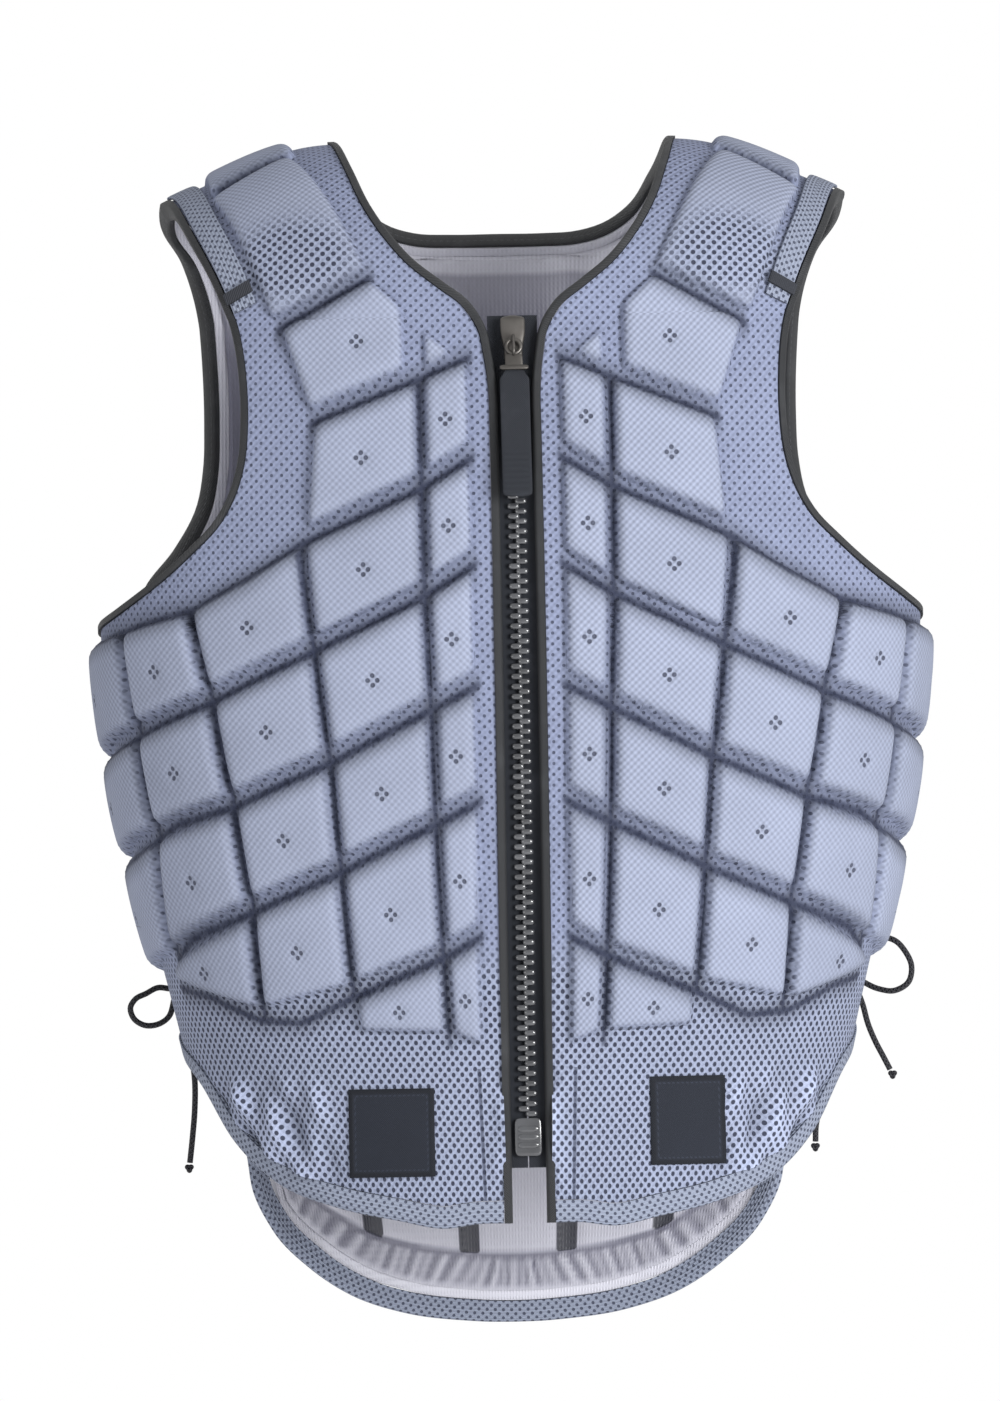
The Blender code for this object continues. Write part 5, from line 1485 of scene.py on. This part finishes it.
        columns = [-c for c in reversed(BACK_COLUMNS)] + list(BACK_COLUMNS)
        tiles = []
        for left, right in zip(columns, columns[1:]):
            for upper, lower in zip(BACK_ROWS, BACK_ROWS[1:]):
                corners = ((left, lower), (right, lower), (right, upper), (left, upper))
                corners = np.array([place(*corner) for corner in corners])
                if self.clear(corners, bounds):
                    tiles.append(Tile(corners, self.relief, 1.0 + rng.uniform(-0.03, 0.03)))
        rows = [np.array([place(c, row) for c in (-0.95, 0.0, 0.95)]) for row in BACK_ROWS]
        downs = [np.array([(place(c, 0.0)[0], level) for level in (-0.47, -0.09)]) for c in columns]
        return Quilt(tiles, rows, downs)

    def clear(self, corners: np.ndarray, bounds: Bounds) -> bool:
        """Whether a tile lies inside the back's edges, with a small margin."""
        girth = SHELL.near_half(corners[:, 0])
        inner, outer = bounds.edges_at(corners[:, 1])
        gap = np.minimum(girth - outer, corners[:, 1] - bounds.hem_at(girth))
        gap = np.where(inner < SHELL.back_centre - 1e-6, np.minimum(gap, inner - girth), gap)
        return bool((gap > BACK_MARGIN).all())

    def skirt_wrinkles(self, places: np.ndarray, top: float, foot: float) -> np.ndarray:
        """Height of the unpadded skirt's slanting wrinkles: three sine folds that fade out at its ends."""
        girth, low = places[:, 0], -places[:, 1]
        drop = low / SHELL.front_drop
        fade = smoothstep(top, top + 0.035, drop) * smoothstep(foot, foot - 0.04, drop)
        folds = sum(
            size * np.sin(2 * math.pi * (girth / round_pitch + low / down_pitch) + phase)
            for size, round_pitch, down_pitch, phase in self.folds
        )
        beside, below = np.abs(girth - 0.078), np.abs(drop - 0.910)
        calm = 1 - smoothstep(0.064, 0.044, beside) * smoothstep(0.074, 0.054, below)
        return (self.fold_height if foot < 1 else self.back_fold_height) * fade * (folds + 0.8) * calm

    def dress(self, name: str, places: np.ndarray, quads: np.ndarray, quilt: Quilt, share: float) -> Surface:
        """A panel's closed mesh with its relief and its pattern values.

        Args:
            name: the panel's name, for the log.
            places: rows of (girth, level).
            quads: the panel's quads.
            quilt: its relief.
            share: where its padding ends, as a share of front_drop.

        Returns:
            The mesh: the shell moved out by the relief, and in by the wall.
        """
        s = SHELL
        found = quilt.surface(places)
        drop = -places[:, 1] / s.front_drop
        skirt = smoothstep(share - 0.005, share + 0.02, drop)
        wrinkles = self.skirt_wrinkles(places, share, 0.985 if share < 0.87 else 1.08)
        outer = s.point(places, found["height"] + wrinkles)
        inner = s.point(places, -self.wall(places[:, 1], share) + np.maximum(wrinkles, 0.0) * 0.5)
        surface = thick_sheet(outer, inner, quads, places)
        pad = 1.4 * np.exp(-((((places - s.place_of(0.53, 0.082)) / (0.034, 0.022)) ** 2).sum(1) ** 1.5))
        pad = pad * (places[:, 0] < s.silhouette)
        low_ground = found["ground"] * smoothstep(share - 0.13, share - 0.07, drop)
        values = {key: found[key] for key in ("ground", "across", "across_on", "beside", "beside_on")}
        # painted shade of the skirt folds: tone darkened in the wrinkle valleys and lightened on their crests
        values["tone"] = found["tone"] * (1 + 90 * wrinkles)
        values["open"] = np.clip(np.maximum(skirt, low_ground) + pad, 0.0, 1.0)
        values["seam"] = np.where(skirt > 0.5, places[:, 0] - self.zip_seam, 0.05)
        values["mauve_and_painted_shade"] = values["slot"] = np.zeros(len(places))
        surface.values = {key: np.tile(value, 2) for key, value in values.items()}
        surface.spots = np.tile(found["spots"], (2, 1))
        log.info("%s: %d tiles", name, len(quilt.tiles))
        return surface

    def build(self) -> list[bpy.types.Object]:
        """Make the three panels.

        Returns:
            Their objects.
        """
        made = []
        bounds = front_bounds(self.binding, self.seam, self.hem, 0.0, 0.0003)
        grid = bounds.places(rows=316, columns=146, low_rows=66)
        places, quads = grid.reshape(-1, 2), grid_faces(*grid.shape[:2])
        quilt = self.front_quilt()
        for side in "lr":
            surface = self.dress(f"front_{side}", places, quads, quilt, self.skirt_share)
            made.append(make_piece(
                f"front_quilt_{side}", surface, self.cloths, (f"front_panel_{side}",),
                mirror=side == "r",
            ))
        made.append(self.build_back())
        return made

    def build_back(self) -> bpy.types.Object:
        """Make the back from its two half grids."""
        bounds = back_bounds(self.binding, self.neck_seam, self.hem, 0.0, 0.0003)
        places, quads = back_grid(bounds, rows=290, columns=82, low_rows=62)
        surface = self.dress("back", places, quads, self.back_quilt(bounds), self.tail_share)
        return make_piece("back_quilt", surface, self.cloths, ("back_panel",))


@dataclass
class BackLining:
    """The thin lining inside the back, in pads with dark slots above a gathered foot."""

    finishes: Finishes
    margin: float = 0.0050
    gap: float = 0.0003
    thickness: float = 0.0011
    pad_pitch: float = 0.070
    pad_start: float = -0.037
    pad_swell: float = 0.0024
    ruffle_pitch: float = 0.0095
    ruffle_depth: float = 0.0020

    def build(self, panels: PaddedPanels) -> bpy.types.Object:
        """Make the lining on the back's inside.

        Args:
            panels: the panels, for the wall it lies on.

        Returns:
            The lining's object.
        """
        s = SHELL
        bounds = back_bounds(
            panels.binding + self.margin, panels.neck_seam + self.margin, panels.hem + self.margin,
            self.margin, self.margin,
        )
        places, quads = back_grid(bounds, rows=210, columns=76, low_rows=80)
        swell, slot, shade = self.forms(places, bounds)
        behind = panels.wall(places[:, 1], panels.tail_share) + self.gap
        near = s.point(places, -behind)
        far = s.point(places, -behind - self.thickness - swell)
        surface = thick_sheet(near, far, quads, places)
        top = places[:, 1]
        # painted shade: the darker zone below the neck band fades in from 62% to full going down, for shade deeper
        # inside the neck
        painted_shade_below_neck = 0.62 + 0.38 * smoothstep(-0.043, -0.085, top)
        mauve_and_painted_shade = smoothstep(-0.038, -0.042, top) * smoothstep(-0.46, -0.42, top) * painted_shade_below_neck
        # painted shadow: the lining is darkened below level -0.44, under the front's hem
        painted_hem_shadow = 0.30 * smoothstep(-0.44, -0.48, top)
        # painted shade of the gathers and the painted hem shadow are added to the darker lining zone here
        mauve_and_painted_shade = np.clip(mauve_and_painted_shade + shade + painted_hem_shadow, 0.0, 1.0)
        surface.values = {"mauve_and_painted_shade": np.tile(mauve_and_painted_shade, 2), "slot": np.tile(slot, 2)}
        made = make_piece("silver_lining_back", surface, [self.finishes.lining] * 2, ("back_lining",))
        width = 2 * (s.back_centre - s.side_back)
        return made

    def forms(self, places: np.ndarray, bounds: Bounds) -> tuple[np.ndarray, np.ndarray, np.ndarray]:
        """Swell of the pads and ruffles, the slots between the pads, and the shade in the gathers.

        Args:
            places: rows of (girth, level).
            bounds: the lining's bounds, for the height above its hem.

        Returns:
            The swell, |sin| over each pad and a sine for the ruffles; the share of each slot; and the
            shade between the ruffles and along their top.
        """
        over = places[:, 1] - bounds.hem_at(SHELL.near_half(places[:, 0]))
        across = places[:, 0] - SHELL.back_centre
        pad = np.abs(np.sin(math.pi * (across - self.pad_start) / self.pad_pitch))
        padded = smoothstep(0.016, 0.022, over)
        swell = self.pad_swell * padded * smoothstep(0.0, 0.6, pad)
        ruffled = smoothstep(0.0, 0.004, over) * smoothstep(0.0205, 0.0150, over)
        slant = across + 0.7 * over * np.tanh(across / 0.02)
        ripple = 0.5 + 0.3 * np.sin(2 * math.pi * slant / self.ruffle_pitch + 2.2 * np.sin(across / 0.013))
        ripple = ripple + 0.2 * np.sin(2 * math.pi * slant / 0.0151 + 0.8)
        swell = swell + self.ruffle_depth * ruffled * ripple
        low_band = smoothstep(0.017, 0.020, over) * smoothstep(0.046, 0.042, over)
        slot = low_band * smoothstep(0.40, 0.24, pad)
        shade = ruffled * (1 - ripple) * 0.8 + smoothstep(0.0026, 0.0006, np.abs(over - 0.0178)) * 0.9
        return swell, slot, shade


def rounded_section(width: float, back: float, front: float, nose: int = 9) -> list[tuple[float, float]]:
    """Section of a folded binding: a half ellipse on its outer side, square where it meets the panel."""
    half, mid = (front - back) / 2, (front + back) / 2
    turns = np.linspace(-math.pi / 2, math.pi / 2, nose)
    reach = width * 0.40
    points = [(reach * (1 - math.cos(turn)), mid + half * math.sin(turn)) for turn in turns]
    return [(width, back), (width * 0.7, back), *points, (width * 0.7, front), (width, front)]


def band_rings(path: np.ndarray, section: list[tuple[float, float]]) -> np.ndarray:
    """Rings of a strip along a path on the shell, clamped at the shoulders' crest.

    Args:
        path: rows of (girth, level).
        section: (inward distance, outward offset) round the strip.

    Returns:
        For each section point, the path moved in by its distance and out by its offset.
    """
    crest = SHELL.crest_level - 0.0003
    rings = []
    for across, out in section:
        place = SHELL.shifted(path, across)
        place[:, 1] = np.minimum(place[:, 1], crest)
        rings.append(SHELL.point(place, out))
    return np.stack(rings, axis=1)


@dataclass
class Edging:
    """Piping, bindings, hem bands, shoulder straps and keepers."""

    finishes: Finishes
    piping: float = 0.0042
    binding: float = 0.0044
    neck: float = 0.0022
    hem: float = 0.0110
    proud: float = 0.0014
    back: float = -0.0086
    piping_back: float = -0.0049
    skirt_wall: float = 0.0032
    strap_width: float = 0.0125
    strap_length: float = 0.113
    strap_half_thickness: float = 0.0011

    def band(
        self, name: str, path: np.ndarray, section: list, finish: bpy.types.Material,
        node: str, mirror: bool = False,
    ) -> None:
        """Make one strip along a path in place of its solid."""
        make_piece(name, sweep(band_rings(path, section)), [finish], (node,), mirror=mirror)

    def build(self) -> None:
        """Make every strip."""
        s, f = SHELL, self.finishes
        piping = rounded_section(self.piping, self.piping_back, self.proud)
        arm = rounded_section(self.binding, self.back, self.proud)
        hem = rounded_section(self.hem, -self.skirt_wall - 0.0003, 0.0013)
        for side in "lr":
            for name, path, section, node in (
                ("zip_and_neck_piping", EDGES.front_neck(), piping, "front_piping"),
                ("armhole_tape_front", EDGES.front_arm(), arm, "armhole_binding_front"),
                ("armhole_tape_back", EDGES.back_arm(), arm, "armhole_binding_back"),
            ):
                self.band(f"{name}_{side}", path, section, f.binding, f"{node}_{side}", side == "r")
            path = s.trimmed(EDGES.front_hem(), self.piping + 0.0003)
            name, node = f"hem_mesh_front_{side}", f"hem_band_front_{side}"
            self.band(name, path, hem, f.edge, node, side == "r")
            self.shoulder(side)
        self.band("neck_tape_back", EDGES.across_back(EDGES.back_neck_half())[::-1],
                  rounded_section(self.neck, self.back, self.proud), f.binding, "neck_binding_back")
        self.band("hem_mesh_back", EDGES.across_back(EDGES.back_hem_half()),
                  rounded_section(self.hem, -self.skirt_wall - 0.0013, 0.0013),
                  f.edge, "hem_band_back")

    def flat_section(self, half: float, middle: float, power: float) -> list[tuple[float, float]]:
        """A flat section beside the armhole binding: spow(cos) across and spow(sin) through it."""
        turn = np.linspace(0, 2 * math.pi, 20, endpoint=False)
        across = -self.binding - 0.001 - self.strap_width / 2 + half * spow(np.cos(turn), 0.35)
        return list(zip(across, middle + self.strap_half_thickness * spow(np.sin(turn), power)))

    def shoulder(self, side: str) -> None:
        """Make one shoulder strap and the dark keeper round its end."""
        s, f = SHELL, self.finishes
        path = s.trimmed(EDGES.front_arm()[::-1], 0.0003)
        path = s.trimmed(path, 0.0, path_length(s.torso(path)) - self.strap_length)
        half = self.strap_width / 2
        strap, loop = self.flat_section(half, 0.0016, 0.5), self.flat_section(half + 0.0012, 0.0037, 0.6)
        name, node = f"shoulder_mesh_{side}", f"shoulder_strap_{side}"
        self.band(name, path, strap, f.edge, node, side == "r")
        path = s.trimmed(path, self.strap_length - 0.010, 0.0045)
        self.band(f"keeper_loop_{side}", path, loop, f.webbing, f"strap_keeper_{side}", side == "r")


@dataclass
class FrontZip:
    """The front zip: woven tapes, moulded teeth, slider with its bridge, pull and bottom box."""

    finishes: Finishes
    half_gap: float = 0.0085
    underlap: float = 0.0039
    tape_depth: float = 0.0062
    tape_thickness: float = 0.0010
    clearance: float = 0.0003
    chain_thickness: float = 0.0030
    tooth_pitch: float = 0.0050
    top: float = 0.0710
    bottom: float = 0.4700
    slider_length: float = 0.0250
    slider_half: float = 0.0062
    slider_thickness: float = 0.0045
    bail_drop: float = 0.0150
    bail_room: float = 0.0021
    box_length: float = 0.0190
    pull_length: float = 0.080
    pull_half: float = 0.0070
    pull_thickness: float = 0.0026

    def frame_at(self, level: np.ndarray) -> tuple[np.ndarray, np.ndarray, np.ndarray]:
        """Groove floor point, unit up and outward normal on the middle line at each level."""
        place = np.stack([np.zeros_like(level), level], axis=1)
        _, up, normal = SHELL.axes_at(place)
        return SHELL.torso(place), unit(up), normal

    def at(self, x: np.ndarray, level: np.ndarray, out: np.ndarray) -> np.ndarray:
        """Point across, at a level, and out from the middle line: floor + x X + out N."""
        floor, _, normal = self.frame_at(np.atleast_1d(np.asarray(level, float)))
        return floor + np.asarray(x)[..., None] * np.array([1.0, 0, 0]) + np.asarray(out)[..., None] * normal

    @property
    def chain_back(self) -> float:
        """Offset of the chain's back."""
        return -self.tape_depth + self.tape_thickness + self.clearance

    def build(self) -> None:
        """Make every piece of the zip."""
        self.tapes()
        self.teeth()
        self.box()
        self.slider()
        self.pull()

    def tapes(self) -> None:
        """Two woven tapes, flat strips of even thickness."""
        levels = np.linspace(-self.top, -self.bottom - self.box_length - 0.006, 120)
        width = self.half_gap + self.underlap
        back, front = -self.tape_depth, -self.tape_depth + self.tape_thickness
        edge = [self.clearance, 0.002, 0.006, width]
        across, out = np.array(edge + edge[::-1]), np.repeat([back, front], 4)
        for side, sign in (("l", 1), ("r", -1)):
            rings = [self.at(np.full(120, sign * x), levels, np.full(120, o)) for x, o in zip(across, out)]
            make_piece(
                f"zip_tape_woven_{side}", sweep(np.stack(rings, 1)), [self.finishes.tape],
                (f"zip_tape_{side}",),
            )

    def teeth(self) -> None:
        """Two rows of moulded teeth that take turns, each a soft block with a domed front."""
        count = round((self.bottom - self.top - self.bail_drop) / self.tooth_pitch) * 2 - 1
        levels = -self.bottom + 0.0018 + np.arange(count) * self.tooth_pitch / 2
        side = np.where(np.arange(count) % 2, -1.0, 1.0)
        floor, up, normal = self.frame_at(levels)
        middle = self.chain_back + self.chain_thickness / 2
        centres = floor + side[:, None] * np.array([0.0019, 0, 0]) + normal * middle
        axes = np.stack([np.tile([1.0, 0, 0], (count, 1)), normal, up], axis=1)
        tooth = rounded_block(np.array([0.0064, self.chain_thickness, 0.0031]), 12, 5, 0.60)
        row = repeated(tooth, centres, axes)
        make_piece("zip_teeth_moulded", row, [self.finishes.teeth], ("zip_teeth",))

    def box(self) -> None:
        """The bottom box: a soft block with three ribs across its front."""
        level = np.array([-self.bottom - self.clearance - self.box_length / 2])
        floor, up, normal = self.frame_at(level)
        out = self.chain_back + self.chain_thickness / 2
        axes = np.stack([np.array([[1.0, 0, 0]]), normal, up], axis=1)
        body = rounded_block(np.array([0.0138, self.chain_thickness, self.box_length]), 20, 9, 0.28)
        rib = rounded_block(np.array([0.0100, 0.0012, 0.0030]), 12, 5, 0.4)
        front = floor + normal * (out + self.chain_thickness / 2)
        ribs = repeated(rib, front + up * np.array([[0.004], [0.0], [-0.004]]), axes.repeat(3, 0))
        made = combined([repeated(body, floor + normal * out, axes), ribs])
        make_piece("zip_bottom_box", made, [self.finishes.teeth], ("zip_box",))

    def slider(self) -> None:
        """The slider: a waisted body, wide at the shoulders, with a bridge over the pull's bar.

        The body's half width is w(t), wide at the top and narrower below, with a superellipse section.
        """
        front = self.chain_back + self.chain_thickness + self.clearance
        middle = front + self.slider_thickness / 2
        t = np.linspace(0.0, 1.0, 26)
        level = -self.top - t * self.slider_length
        cap = np.clip(np.minimum(t, 1 - t) / 0.10, 0.0, 1.0)
        cap = np.sqrt(np.clip(1 - (1 - cap) ** 2, 0.03, 1.0))
        half = self.slider_half * (1.0 - 0.26 * smoothstep(0.30, 0.75, t)) * cap
        thick = self.slider_thickness / 2 * (0.78 + 0.22 * np.sin(math.pi * t)) * cap
        turn = np.linspace(0, 2 * math.pi, 24, endpoint=False)
        c, d = spow(np.cos(turn), 0.45), spow(np.sin(turn), 0.45)
        rings = np.stack([self.at(half * a, level, middle + thick * b) for a, b in zip(c, d)], axis=1)
        out = front + self.slider_thickness + self.clearance + self.bail_room
        along = np.array([0.0034, 0.0033, 0.0022, 0.0, -0.0030, -0.0056, -0.0064, -0.0066])
        rise = np.array([-0.0034, 0.0006, 0.0025, 0.0028, 0.0028, 0.0024, 0.0006, -0.0034])
        route = curve_through(self.at(np.zeros(8), -self.top - self.bail_drop + along, out + rise), 0.0006)
        made = combined([sweep(rings), tube(route, 0.00075, 10)])
        make_piece("zip_slider_cast", made, [self.finishes.metal], ("zip_slider",))

    def pull(self) -> None:
        """The pull: a metal ring round the bridge and a ribbed charcoal strip below it."""
        out = self.chain_back + self.chain_thickness + self.clearance * 2
        out = out + self.slider_thickness + self.bail_room
        floor, up, normal = (axis[0] for axis in self.frame_at(np.array([-self.top - self.bail_drop])))
        origin, axes = floor + normal * out, np.stack([np.array([1.0, 0, 0]), up, normal])
        turn = np.linspace(0, 2 * math.pi, 48, endpoint=False)
        ring = np.stack([0.0036 * np.cos(turn), -0.0022 + 0.0036 * np.sin(turn), np.zeros(48)], axis=1)
        parts = [tube(ring @ axes + origin, 0.00115, 10, round_trip=True)]
        for size, down, shape in (
            ((0.0088, 0.0072, 0.0020), -0.0098, (16, 7, 0.35)),
            ((0.0150, 0.0026, 0.0024), -0.0131, (12, 5, 0.45)),
        ):
            centre = np.array([[0.0, down, 0.0]]) @ axes + origin
            parts.append(repeated(rounded_block(np.array(size), *shape), centre, axes[None]))
        make_piece("zip_pull_ring", combined(parts), [self.finishes.metal], (), "pull")
        t = np.linspace(0.0, 1.0, 90)
        start = 0.0142
        down = -start - t * (self.pull_length - start)
        cap = np.sqrt(np.clip(1 - (1 - np.clip(np.minimum(t, 1 - t) / 0.035, 0, 1)) ** 2, 0.02, 1))
        half = (0.0050 + (self.pull_half - 0.0050) * smoothstep(0.02, 0.08, t)) * (0.60 + 0.45 * cap)
        ribbed = smoothstep(0.60, 0.66, t) * smoothstep(0.97, 0.93, t)
        thick = (self.pull_thickness / 2 - 0.0003) * cap
        thick = thick + 0.00018 * np.sin(2 * math.pi * down / 0.0030) * ribbed
        around = np.linspace(0, 2 * math.pi, 28, endpoint=False)
        c, d = spow(np.cos(around), 0.28), spow(np.sin(around), 0.42)
        local = np.stack([half[:, None] * c, np.repeat(down[:, None], 28, axis=1), thick[:, None] * d], axis=-1)
        make_piece(
            "zip_pull_strip", sweep(local @ axes + origin), [self.finishes.tape],
            ("zip_pull",), "pull",
        )


@dataclass
class Patches:
    """The two dark square patches on the skirt, left bare."""

    finishes: Finishes
    height: float = 0.0440
    seat: float = 0.0006
    thickness: float = 0.0009

    def build(self) -> None:
        """Make both patches: thin slabs on the shell whose border sinks."""
        rows, columns = 46, 40
        for side in "lr":
            x_share, drop, width = LABELS[side]
            across, along = np.meshgrid(
                np.linspace(-0.5, 0.5, columns) * width, np.linspace(-0.5, 0.5, rows) * self.height
            )
            border = np.minimum(width / 2 - np.abs(across), self.height / 2 - np.abs(along)).ravel()
            shares = x_share + across.ravel() / SHELL.half_chest
            places = SHELL.place_of(shares, drop - along.ravel() / SHELL.front_drop)
            top = self.seat + 0.0002 + self.thickness * (0.35 + 0.65 * smoothstep(0.0, 0.0012, border))
            outer, inner = SHELL.point(places, top), SHELL.point(places, self.seat - 0.0004)
            surface = thick_sheet(outer, inner, grid_faces(rows, columns), places)
            surface.values = {"border": np.tile(border, 2)}
            make_piece(
                f"patch_{side}", surface, [self.finishes.patch] * 2, (f"label_{side}",),
                mirror=side == "r",
            )


@dataclass
class SideLacing:
    """Webbing strips, the lace that crosses each side gap, and its knot, loop and loose ends."""

    finishes: Finishes
    radius: float = 0.0015
    strip_width: float = 0.0080
    strip_thickness: float = 0.0020
    strip_depth: float = 0.0020
    turns: int = 7
    top: float = 0.480
    foot: float = 0.745
    margin: float = 0.020
    step: float = 0.0012
    knot_radius: float = 0.0044
    tip_radius: float = 0.0024
    clearance: float = 0.0003
    seat: float = 0.0005 + 0.0007

    def off_ball(self, centre: np.ndarray, radius: float, towards: np.ndarray) -> np.ndarray:
        """Point just off a ball's surface on the way to another point."""
        centre = np.asarray(centre)
        return centre + unit(np.asarray(towards) - centre) * (radius + self.clearance)

    def braided(self, name: str, path: np.ndarray, node: str) -> bpy.types.Object:
        """A braided tube along a path in place of its solid."""
        return make_piece(name, tube(path, self.radius * 0.98, 12), [self.finishes.lace], (node,))

    def knot(self, name: str, centre: np.ndarray, node: str, size: float) -> bpy.types.Object:
        """A small overhand knot: a closed trefoil of lace.

        Its path is x = sin t + 2 sin 2t, y = 1.1 sin 3t, z = cos t - 2 cos 2t, by a third of its size.
        """
        t = np.linspace(0, 2 * math.pi, 60, endpoint=False)
        x, z = np.sin(t) + 2 * np.sin(2 * t), np.cos(t) - 2 * np.cos(2 * t)
        path = np.stack([x, 1.1 * np.sin(3 * t), z], axis=1) * size / 3 + np.asarray(centre)
        surface = tube(path, size * 0.42, 10, round_trip=True)
        return make_piece(name, surface, [self.finishes.lace], (node,))

    def declare(
        self, made: bpy.types.Object
    ) -> None:
        """Take a loose lace and do nothing with it: its diameter is worked out and dropped."""
        2 * self.radius

    def build_cords(self) -> None:
        for side in "lr":
            centre = np.array(KNOT_PLACES[side])
            knot = self.knot(f"knot_{side}", centre, f"lace_knot_{side}", self.knot_radius * 0.78)
            loop = np.array(LOOP_ROUTES[side])
            first, last = ([self.off_ball(centre, self.knot_radius, loop[row])] for row in (0, -1))
            path = curve_through(np.concatenate([first, loop, last]), self.step)
            self.declare(self.braided(f"loop_{side}", path, f"lace_loop_{side}"))
            for name, route in END_ROUTES.items():
                if not name.endswith(side):
                    continue
                start = [self.off_ball(centre, self.knot_radius, route[0])]
                path = curve_through(np.concatenate([start, np.array(route)]), self.step)
                made = self.braided(f"lace_{name}_braid", path, f"lace_{name}")
                foot = path[-1] + unit(path[-1] - path[-2]) * (self.tip_radius + self.clearance)
                tip = self.knot(f"tip_{name}", foot, f"lace_tip_{name}", self.tip_radius * 0.72)
                self.declare(made)

    def build_sides(self) -> None:
        """Make the webbing strips and the lace across each gap."""
        s = SHELL
        for side, sign in (("l", 1), ("r", -1)):
            for part, girth, way in (("front", s.side_front, 1), ("back", s.side_back, -1)):
                levels = np.linspace(-self.foot - self.margin, -self.top + self.margin, 90) * s.front_drop
                path = np.stack([np.full(90, girth), levels], axis=1)[::way]
                low, high = -self.strip_depth - self.strip_thickness, -self.strip_depth
                near, far, cut = -self.clearance, -self.strip_width, 0.0004
                section = [(far, low + cut), (far + cut, low), (near, low), (near, high), (far + cut, high),
                           (far, high - cut)]
                make_piece(
                    f"lacing_webbing_{part}_{side}", sweep(band_rings(path, section)), [self.finishes.webbing],
                    (f"lacing_strip_{part}_{side}",), mirror=sign < 0,
                )
            count, half = self.turns + 1, self.strip_width / 2
            girths = np.where(np.arange(count) % 2 == 0, s.side_front + half, s.side_back - half)
            levels = np.linspace(-self.top, -self.foot, count) * s.front_drop
            seat = -self.strip_depth + self.seat + self.radius
            crossings = s.point(np.stack([girths, levels], axis=1), seat) * (sign, 1, 1)
            end = self.off_ball(np.array(KNOT_PLACES[side]), self.knot_radius, crossings[-1])
            path = curve_through(np.concatenate([crossings, [end]]), self.step)
            self.braided(f"side_braid_{side}", path, f"side_lace_{side}")


@dataclass(frozen=True)
class Stage:
    """Pale floor, soft light and the camera at the photograph's angle."""

    distance: float = 20.0
    view_height: float = 0.7005
    aim: tuple = (-0.0060, 0.0, -0.2625)
    azimuth: float = math.radians(-2.0)
    roll: float = math.radians(-1.1)
    key_power: float = 105.0
    fill_power: float = 14.0
    floor_level: float = -1.05

    def camera(self) -> None:
        """Long lens: the view height at the vest is sensor height / lens x distance."""
        data = bpy.data.cameras.new("view")
        data.sensor_fit = "VERTICAL"
        data.sensor_height = 24.0
        data.lens = data.sensor_height * self.distance / self.view_height
        made = bpy.data.objects.new("view", data)
        back = np.array([math.sin(self.azimuth), -math.cos(self.azimuth), 0.0])
        made.location = np.array(self.aim) + back * self.distance

        turn = Vector((-back).tolist()).to_track_quat("-Z", "Y").to_matrix()
        made.rotation_euler = (turn @ Matrix.Rotation(self.roll, 3, "Z")).to_euler()
        bpy.context.scene.collection.objects.link(made)
        bpy.context.scene.camera = made

    def lights(self) -> None:
        """White surroundings, a soft key from the upper right and a weak fill."""
        scene = bpy.context.scene
        world = bpy.data.worlds.new("studio")
        world.use_nodes = True
        world.node_tree.nodes["Background"].inputs["Color"].default_value = (1.0, 1.0, 1.0, 1.0)
        world.node_tree.nodes["Background"].inputs["Strength"].default_value = 1.0
        scene.world = world
        scene.view_settings.view_transform = "Standard"
        for name, place, size, power in (
            ("key", (1.5, -2.3, 0.05), 1.1, self.key_power), ("fill", (-1.6, -2.0, -0.5), 1.4, self.fill_power),
        ):
            data = bpy.data.lights.new(name, "AREA")
            data.size = size
            data.energy = power
            made = bpy.data.objects.new(name, data)
            made.location = place

            way = Vector(self.aim) - Vector(place)
            made.rotation_euler = way.to_track_quat("-Z", "Y").to_euler()
            scene.collection.objects.link(made)

    def floor(self) -> None:
        """A pale floor well below the vest: a disc of rings with its middle closed."""
        rings, around = 24, 64
        radius = np.linspace(0.02, 3.0, rings)[:, None]
        turn = np.linspace(0, 2 * math.pi, around, endpoint=False)
        level = np.full((rings, around), self.floor_level)
        points = np.stack([radius * np.cos(turn), radius * np.sin(turn), level], axis=-1).reshape(-1, 3)
        quads = ring_quads(rings - 1, around, rings)
        mesh = bpy.data.meshes.new("studio_floor")
        mesh.from_pydata(points.tolist(), [], [*quads.tolist(), list(range(around))])
        mesh.materials.append(Studio().material())
        made = bpy.data.objects.new("studio_floor", mesh)
        bpy.context.scene.collection.objects.link(made)


def main() -> None:
    """Load the frame, set the stage, and build each sub-assembly in order."""
    logging.basicConfig(level=logging.INFO, format="%(message)s")
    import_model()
    stage = Stage()
    stage.camera()
    finishes = Finishes.make()
    lacing = SideLacing(finishes)
    lacing.build_cords()
    lacing.build_sides()
    panels = PaddedPanels(finishes)
    panels.build()
    BackLining(finishes).build(panels)
    Edging(finishes).build()
    FrontZip(finishes).build()
    Patches(finishes).build()
    stage.lights()
    stage.floor()


if __name__ == "__main__":
    main()
